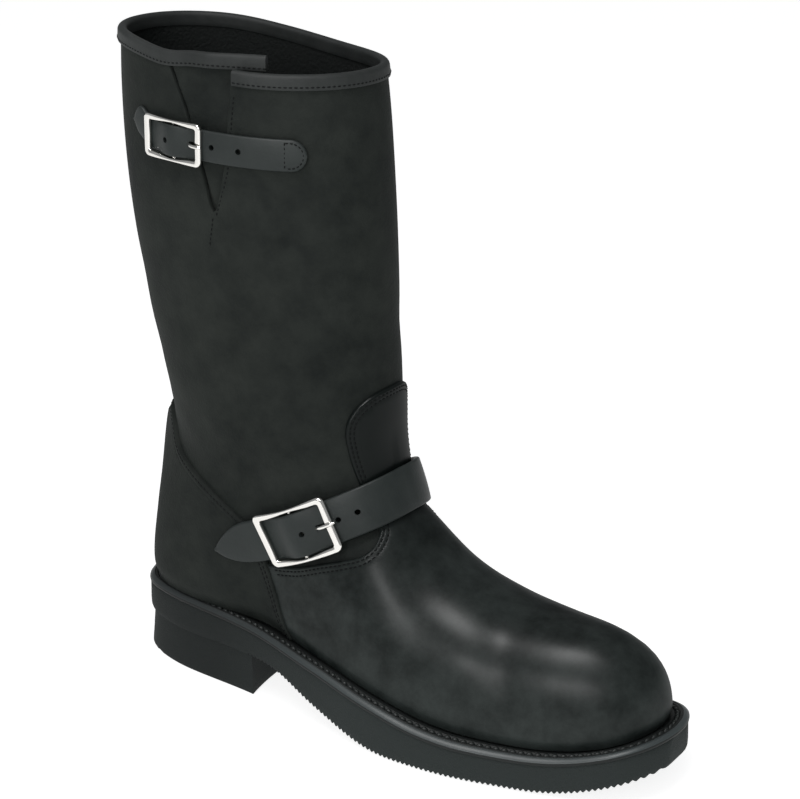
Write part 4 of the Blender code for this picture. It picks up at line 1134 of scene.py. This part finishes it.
def fine_strap(name, path, stations, halves, size, slack, node, holes, tail):
    """A strap with rounded edges and punched holes, whose point leans to the side as tail says."""
    turn = np.radians(np.linspace(0, 180, 9))
    rings = []
    for s, half in zip(stations, halves):
        low = strap_low(s, size, slack) - STRAP_SINK
        thick = strap_thickness(size) + STRAP_SINK
        soft_edge = min(1.1, half * 0.45)
        w, h = [], []
        for side in (1, -1):
            for t in np.radians(np.linspace(*((-60, 90) if side > 0 else (90, 240)), 6)):
                w.append(side * (half - soft_edge) + soft_edge * np.cos(t))
                h.append(low + thick / 2 + thick / 2 * np.sin(t))
            if side > 0:
                for k in (0.6, 0.2, -0.2, -0.6):
                    w.append(k * (half - soft_edge))
                    h.append(low + thick + 0.35 * (1 - k * k))
        for k in (-0.5, 0.0, 0.5):
            w.append(k * half)
            h.append(low)
        w, h = np.array(w), np.array(h)
        follow = np.clip(1 - (w / half) ** 2, 0, 1) * min(1.0, half / (0.5 * ANKLE_WIDTH))
        aside = tail[0] * soft((tail[1] - s) / (tail[1] - tail[2]))
        rings.append(path.at(s, w + aside, h, follow))
    points, faces = sweep(rings)
    obj = piece(name, points, faces, STRAP_LEATHER, [node], angle=50)
    points, faces = [], []
    slot_size = [size * value for value in OPEN_SLOT]
    outlines = [[(slot_size[0], -slot_size[2]), (slot_size[1], -slot_size[2] * 0.8),
                 (slot_size[1], slot_size[2] * 0.8), (slot_size[0], slot_size[2])]]
    turn = np.radians(np.arange(0, 360, 22.5))
    outlines += [[(s + HOLE_RADIUS * np.cos(t), HOLE_RADIUS * np.sin(t)) for t in turn] for s in holes]
    for outline in outlines:
        middle = sum(s for s, _ in outline) / len(outline)
        low = bar_lift(middle, size) - 1.5
        spots = np.array(outline)
        ends = [path.at(spots[:, 0], spots[:, 1], np.full(len(spots), h), 0.7) for h in (low, low + 8.0)]
        got, more = sweep(ends, base=sum(len(p) for p in points))
        points.append(got)
        faces += more
    tool = new_object(name + "_punch", new_mesh(name + "_punch", np.concatenate(points), faces))
    modifier = obj.modifiers.new("punch", "BOOLEAN")
    modifier.operation = "DIFFERENCE"
    modifier.solver = "EXACT"
    modifier.object = tool
    bpy.context.view_layer.update()
    done = bpy.data.meshes.new_from_object(obj.evaluated_get(bpy.context.evaluated_depsgraph_get()))
    obj.modifiers.clear()
    obj.data = done
    bpy.data.objects.remove(tool)
    return obj


def rounded_loop(half_long, half_across, radius, bow_long, bow_across):
    """A rectangle with rounded corners whose sides bow outward."""
    loop = []
    corners = ((1, 1), (-1, 1), (-1, -1), (1, -1))
    for k, (sx, sy) in enumerate(corners):
        for step in np.linspace(0, 90, 7):
            t = np.radians(90 * k + step)
            across = sy * (half_across - radius) + radius * np.sin(t)
            loop.append((sx * (half_long - radius) + radius * np.cos(t), across))
        for share in np.linspace(-1, 1, 9)[1:-1]:
            lift = np.cos(share * np.pi / 2) ** 2
            if k % 2 == 0:
                loop.append((-sx * (half_long - radius) * share, sy * (half_across + bow_across * lift)))
            else:
                loop.append((sx * (half_long + bow_long * lift), -sy * (half_across - radius) * share))
    return np.array(loop)


def fine_buckle(name, path, half_long, half_across, size, node):
    """A buckle's frame with its middle bar, and its prong."""
    outer = rounded_loop(half_long, half_across, 3.2 * size, 0.0, -0.35)
    inner = rounded_loop(half_long - 3.7 * size, half_across - 3.3 * size, 1.2 * size, -0.2, 1.15 * size)
    turn = np.radians(np.linspace(0, 360, 16, endpoint=False))
    corner = 0.62
    across = 0.5 - 0.5 * np.sign(np.cos(turn)) * np.abs(np.cos(turn)) ** corner
    up = np.sign(np.sin(turn)) * np.abs(np.sin(turn)) ** corner
    middle, thick = (FRAME_LOW + FRAME_HIGH) / 2 * size, (FRAME_HIGH - FRAME_LOW) / 2 * size
    rings = []
    for o, i in zip(outer, inner):
        spots = o + (i - o) * across[:, None]
        rings.append(path.at(spots[:, 0], spots[:, 1], middle + thick * up - 0.25 * across * (up > 0)))
    points, faces = sweep(rings, closed=True)
    turn = np.radians(np.arange(0, 360, 20))
    reach = half_across - 1.2 * size
    s = BAR_RADIUS * size * np.cos(turn)
    h = (BAR_HEIGHT + BAR_RADIUS * np.sin(turn)) * size
    rod, more = sweep([path.at(s, w, h) for w in (-reach, reach)], base=len(points))
    buckle = node + "_buckle"
    piece(name + "_frame", np.concatenate([points, rod]), faces + more, NICKEL, [buckle], angle=50)
    at = np.linspace(PRONG[0, 0], PRONG[-1, 0], 48)
    shift = half_long - 21.0 * size
    rings = []
    height, wide, thick = (through(PRONG, k, at) * size for k in (1, 2, 3))
    lean = np.gradient(height, at * size)
    for s, h, w, t, slope in zip(at * size, height, wide, thick, lean):
        if s > 0:
            tilt = np.arctan(np.clip(slope, -1.5, 1.5))
        else:
            tilt = np.arctan2(-1.4, 1.0) * min(1.0, -s / (2 * size))
        ring = np.radians(np.arange(0, 360, 30))
        b = t * np.sin(ring)
        on = s + shift * np.clip(s / (18 * size), 0, 1)
        rings.append(path.at(on - b * np.sin(tilt), w * np.cos(ring), h + b * np.cos(tilt)))
    points, faces = sweep(rings)
    piece(name + "_tongue", points, faces, NICKEL, [node + "_prong"], angle=60)


def strap_row(path, spots, size, slack=0.0):
    """Stitch places on a strap's face along a line of spots."""
    s, w = np.array(spots, float).T
    points = path.at(s, w, strap_low(s, size, slack) + strap_thickness(size) + 0.1, 0.9)
    place, line = along(points, 2.1)
    up = normals(place)
    return place, squared(line, up), up


# Ankle strap
ankle = Path(ANKLE_AXIS, ANKLE_TURNS, ANKLE_LINE, ANKLE_WIDTH, ANKLE_BAR_TURN, OVERLAY + GAP)
half = ANKLE_WIDTH / 2
start, tip_end, end = ANKLE_REACH
point = start + (tip_end - start) * np.linspace(0, 1, 18) ** 1.3
reach = np.concatenate([point, np.arange(tip_end + 1.5, end, 1.7), [end]])
narrow = np.clip((tip_end - reach) / (tip_end - start), 0, 1)
halves = np.maximum(half * (1 - narrow**ROUND_TIP) ** 0.75, 0.9)
fine_strap("ankle_band", ankle, reach, halves, 1.0, STRAP_SLACK, "ankle_strap", ANKLE_HOLES, ANKLE_TAIL)
fine_buckle("ankle_fastener", ankle, ANKLE_BUCKLE_HALF, half + FRAME_SIDE_GAP + FRAME_RAIL, 1.0, "ankle")
runs = [strap_row(ankle, [(end - off, w) for w in np.linspace(-half + 2, half - 2, 12)], 1.0, STRAP_SLACK)
        for off in (2.5, 5.0)]
stitch_piece("ankle_stitches", runs, length=1.7, radius=0.34)

# Top strap
calf = Path(TOP_AXIS, TOP_TURNS, TOP_LINE, TOP_WIDTH, TOP_BAR_TURN, 0.0)
half = TOP_WIDTH / 2
start, tip_end, end = TOP_REACH
reach = start + TOP_TRIM + (tip_end - start) * np.linspace(0, 1, 18) ** 1.6
reach = np.concatenate([reach, np.arange(reach[-1] + 1.5, end - half, 1.6)])
reach = np.concatenate([reach, end - half * (1 - np.sin(np.linspace(0.05, np.pi / 2, 12)))])
narrow = np.clip((tip_end - reach) / (tip_end - start - TOP_TRIM), 0, 1)
tip = half * (1 - narrow**ROUND_TIP) ** 0.75
front = half * np.sqrt(np.clip(1 - np.clip((reach - end + half) / half, 0, 1) ** 2, 0, 1))
halves = np.maximum(np.minimum(tip, front), 0.7)
fine_strap("top_band", calf, reach, halves, TOP_SIZE, 0.0, "top_strap", TOP_HOLES, TAIL_RISE)
across = half + FRAME_SIDE_GAP + FRAME_RAIL * TOP_SIZE
fine_buckle("top_fastener", calf, TOP_BUCKLE_HALF, across, TOP_SIZE, "top")
arc = np.radians(np.linspace(90, -90, 24))
rim_row = [(end - half + (half - 1.6) * np.cos(t), (half - 1.6) * np.sin(t)) for t in arc]
cross_row = [(end - half - 2.5, w) for w in np.linspace(-half + 1.4, half - 1.4, 12)]
rim_row = [(end - half - 2.5, half - 1.6)] + rim_row + [(end - half - 2.5, 1.6 - half)]
runs = [strap_row(calf, row, TOP_SIZE) for row in (rim_row, cross_row)]
stitch_piece("top_stitches", runs, length=1.6, radius=0.3)


# Floor, light and camera
def light(name, place, aim, size, power, highlight):
    """A soft box. One for a highlight shows in glossy faces alone, and the others light the rest."""
    lamp = bpy.data.lights.new(name, "AREA")
    lamp.shape = "RECTANGLE"
    lamp.size, lamp.size_y = size
    lamp.energy = power
    obj = new_object(name, lamp)
    obj.location = place
    obj.rotation_euler = (Vector(aim) - Vector(place)).to_track_quat("-Z", "Y").to_euler()
    obj.visible_glossy, obj.visible_diffuse = highlight, not highlight


floor_mesh = bpy.data.meshes.new("floor")
floor_mesh.from_pydata([(-8, -8, 0), (8, -8, 0), (8, 8, 0), (-8, 8, 0)], [], [(0, 1, 2, 3)])
look = Look("floor")
look.fill(look.shader, {
    "Base Color": (0.5, 0.5, 0.5, 1),
    "Emission Color": (1, 1, 1, 1),
    "Emission Strength": 0.84,
    "Specular IOR Level": 0.1,
    "Roughness": 0.9,
})
floor_mesh.materials.append(look.material)
new_object("floor", floor_mesh)

world = bpy.data.worlds.new("studio")
bpy.context.scene.world = world
world.use_nodes = True
world.node_tree.nodes["Background"].inputs["Color"].default_value = (0.96, 0.98, 1.0, 1)
world.node_tree.nodes["Background"].inputs["Strength"].default_value = 0.3
light("vamp_light", (-0.03, -0.45, 1.17), (0.06, -0.02, 0.07), (0.12, 0.42), 12.0, highlight=True)
light("toe_light", (0.17, -1.2, 0.6), (0.11, -0.03, 0.055), (0.4, 0.18), 7.0, highlight=True)
light("front_light", (0.45, -1.65, 1.0), (0, 0, 0.17), (1.2, 1.0), 8.0, highlight=False)
light("top_light", (0.06, -0.4, 1.2), (0.06, -0.02, 0.07), (0.5, 0.8), 4.0, highlight=False)

AZIMUTH, ELEVATION, ROLL = np.radians((34.414, 20.473, -0.095))
DISTANCE = 951.322
AIM = np.array([155.832, 0.0, 164.082])
FOCAL_SHARE = 2.4569
level = np.cos(ELEVATION)
back = np.array([np.sin(AZIMUTH) * level, -np.cos(AZIMUTH) * level, np.sin(ELEVATION)])
right = np.array([np.cos(AZIMUTH), np.sin(AZIMUTH), 0.0])
up = np.cross(back, right)
right, up = right * np.cos(ROLL) + up * np.sin(ROLL), up * np.cos(ROLL) - right * np.sin(ROLL)
camera = new_object("camera", bpy.data.cameras.new("camera"))
camera.data.sensor_width = 36.0
camera.data.lens = camera.data.sensor_width * FOCAL_SHARE
camera.data.clip_start = 0.01
turned = Matrix(np.stack([right, up, back], 1).tolist()).to_4x4()
camera.matrix_world = Matrix.Translation(to_frame(AIM + back * DISTANCE)) @ turned
bpy.context.scene.camera = camera
bpy.context.scene.view_settings.view_transform = "Standard"
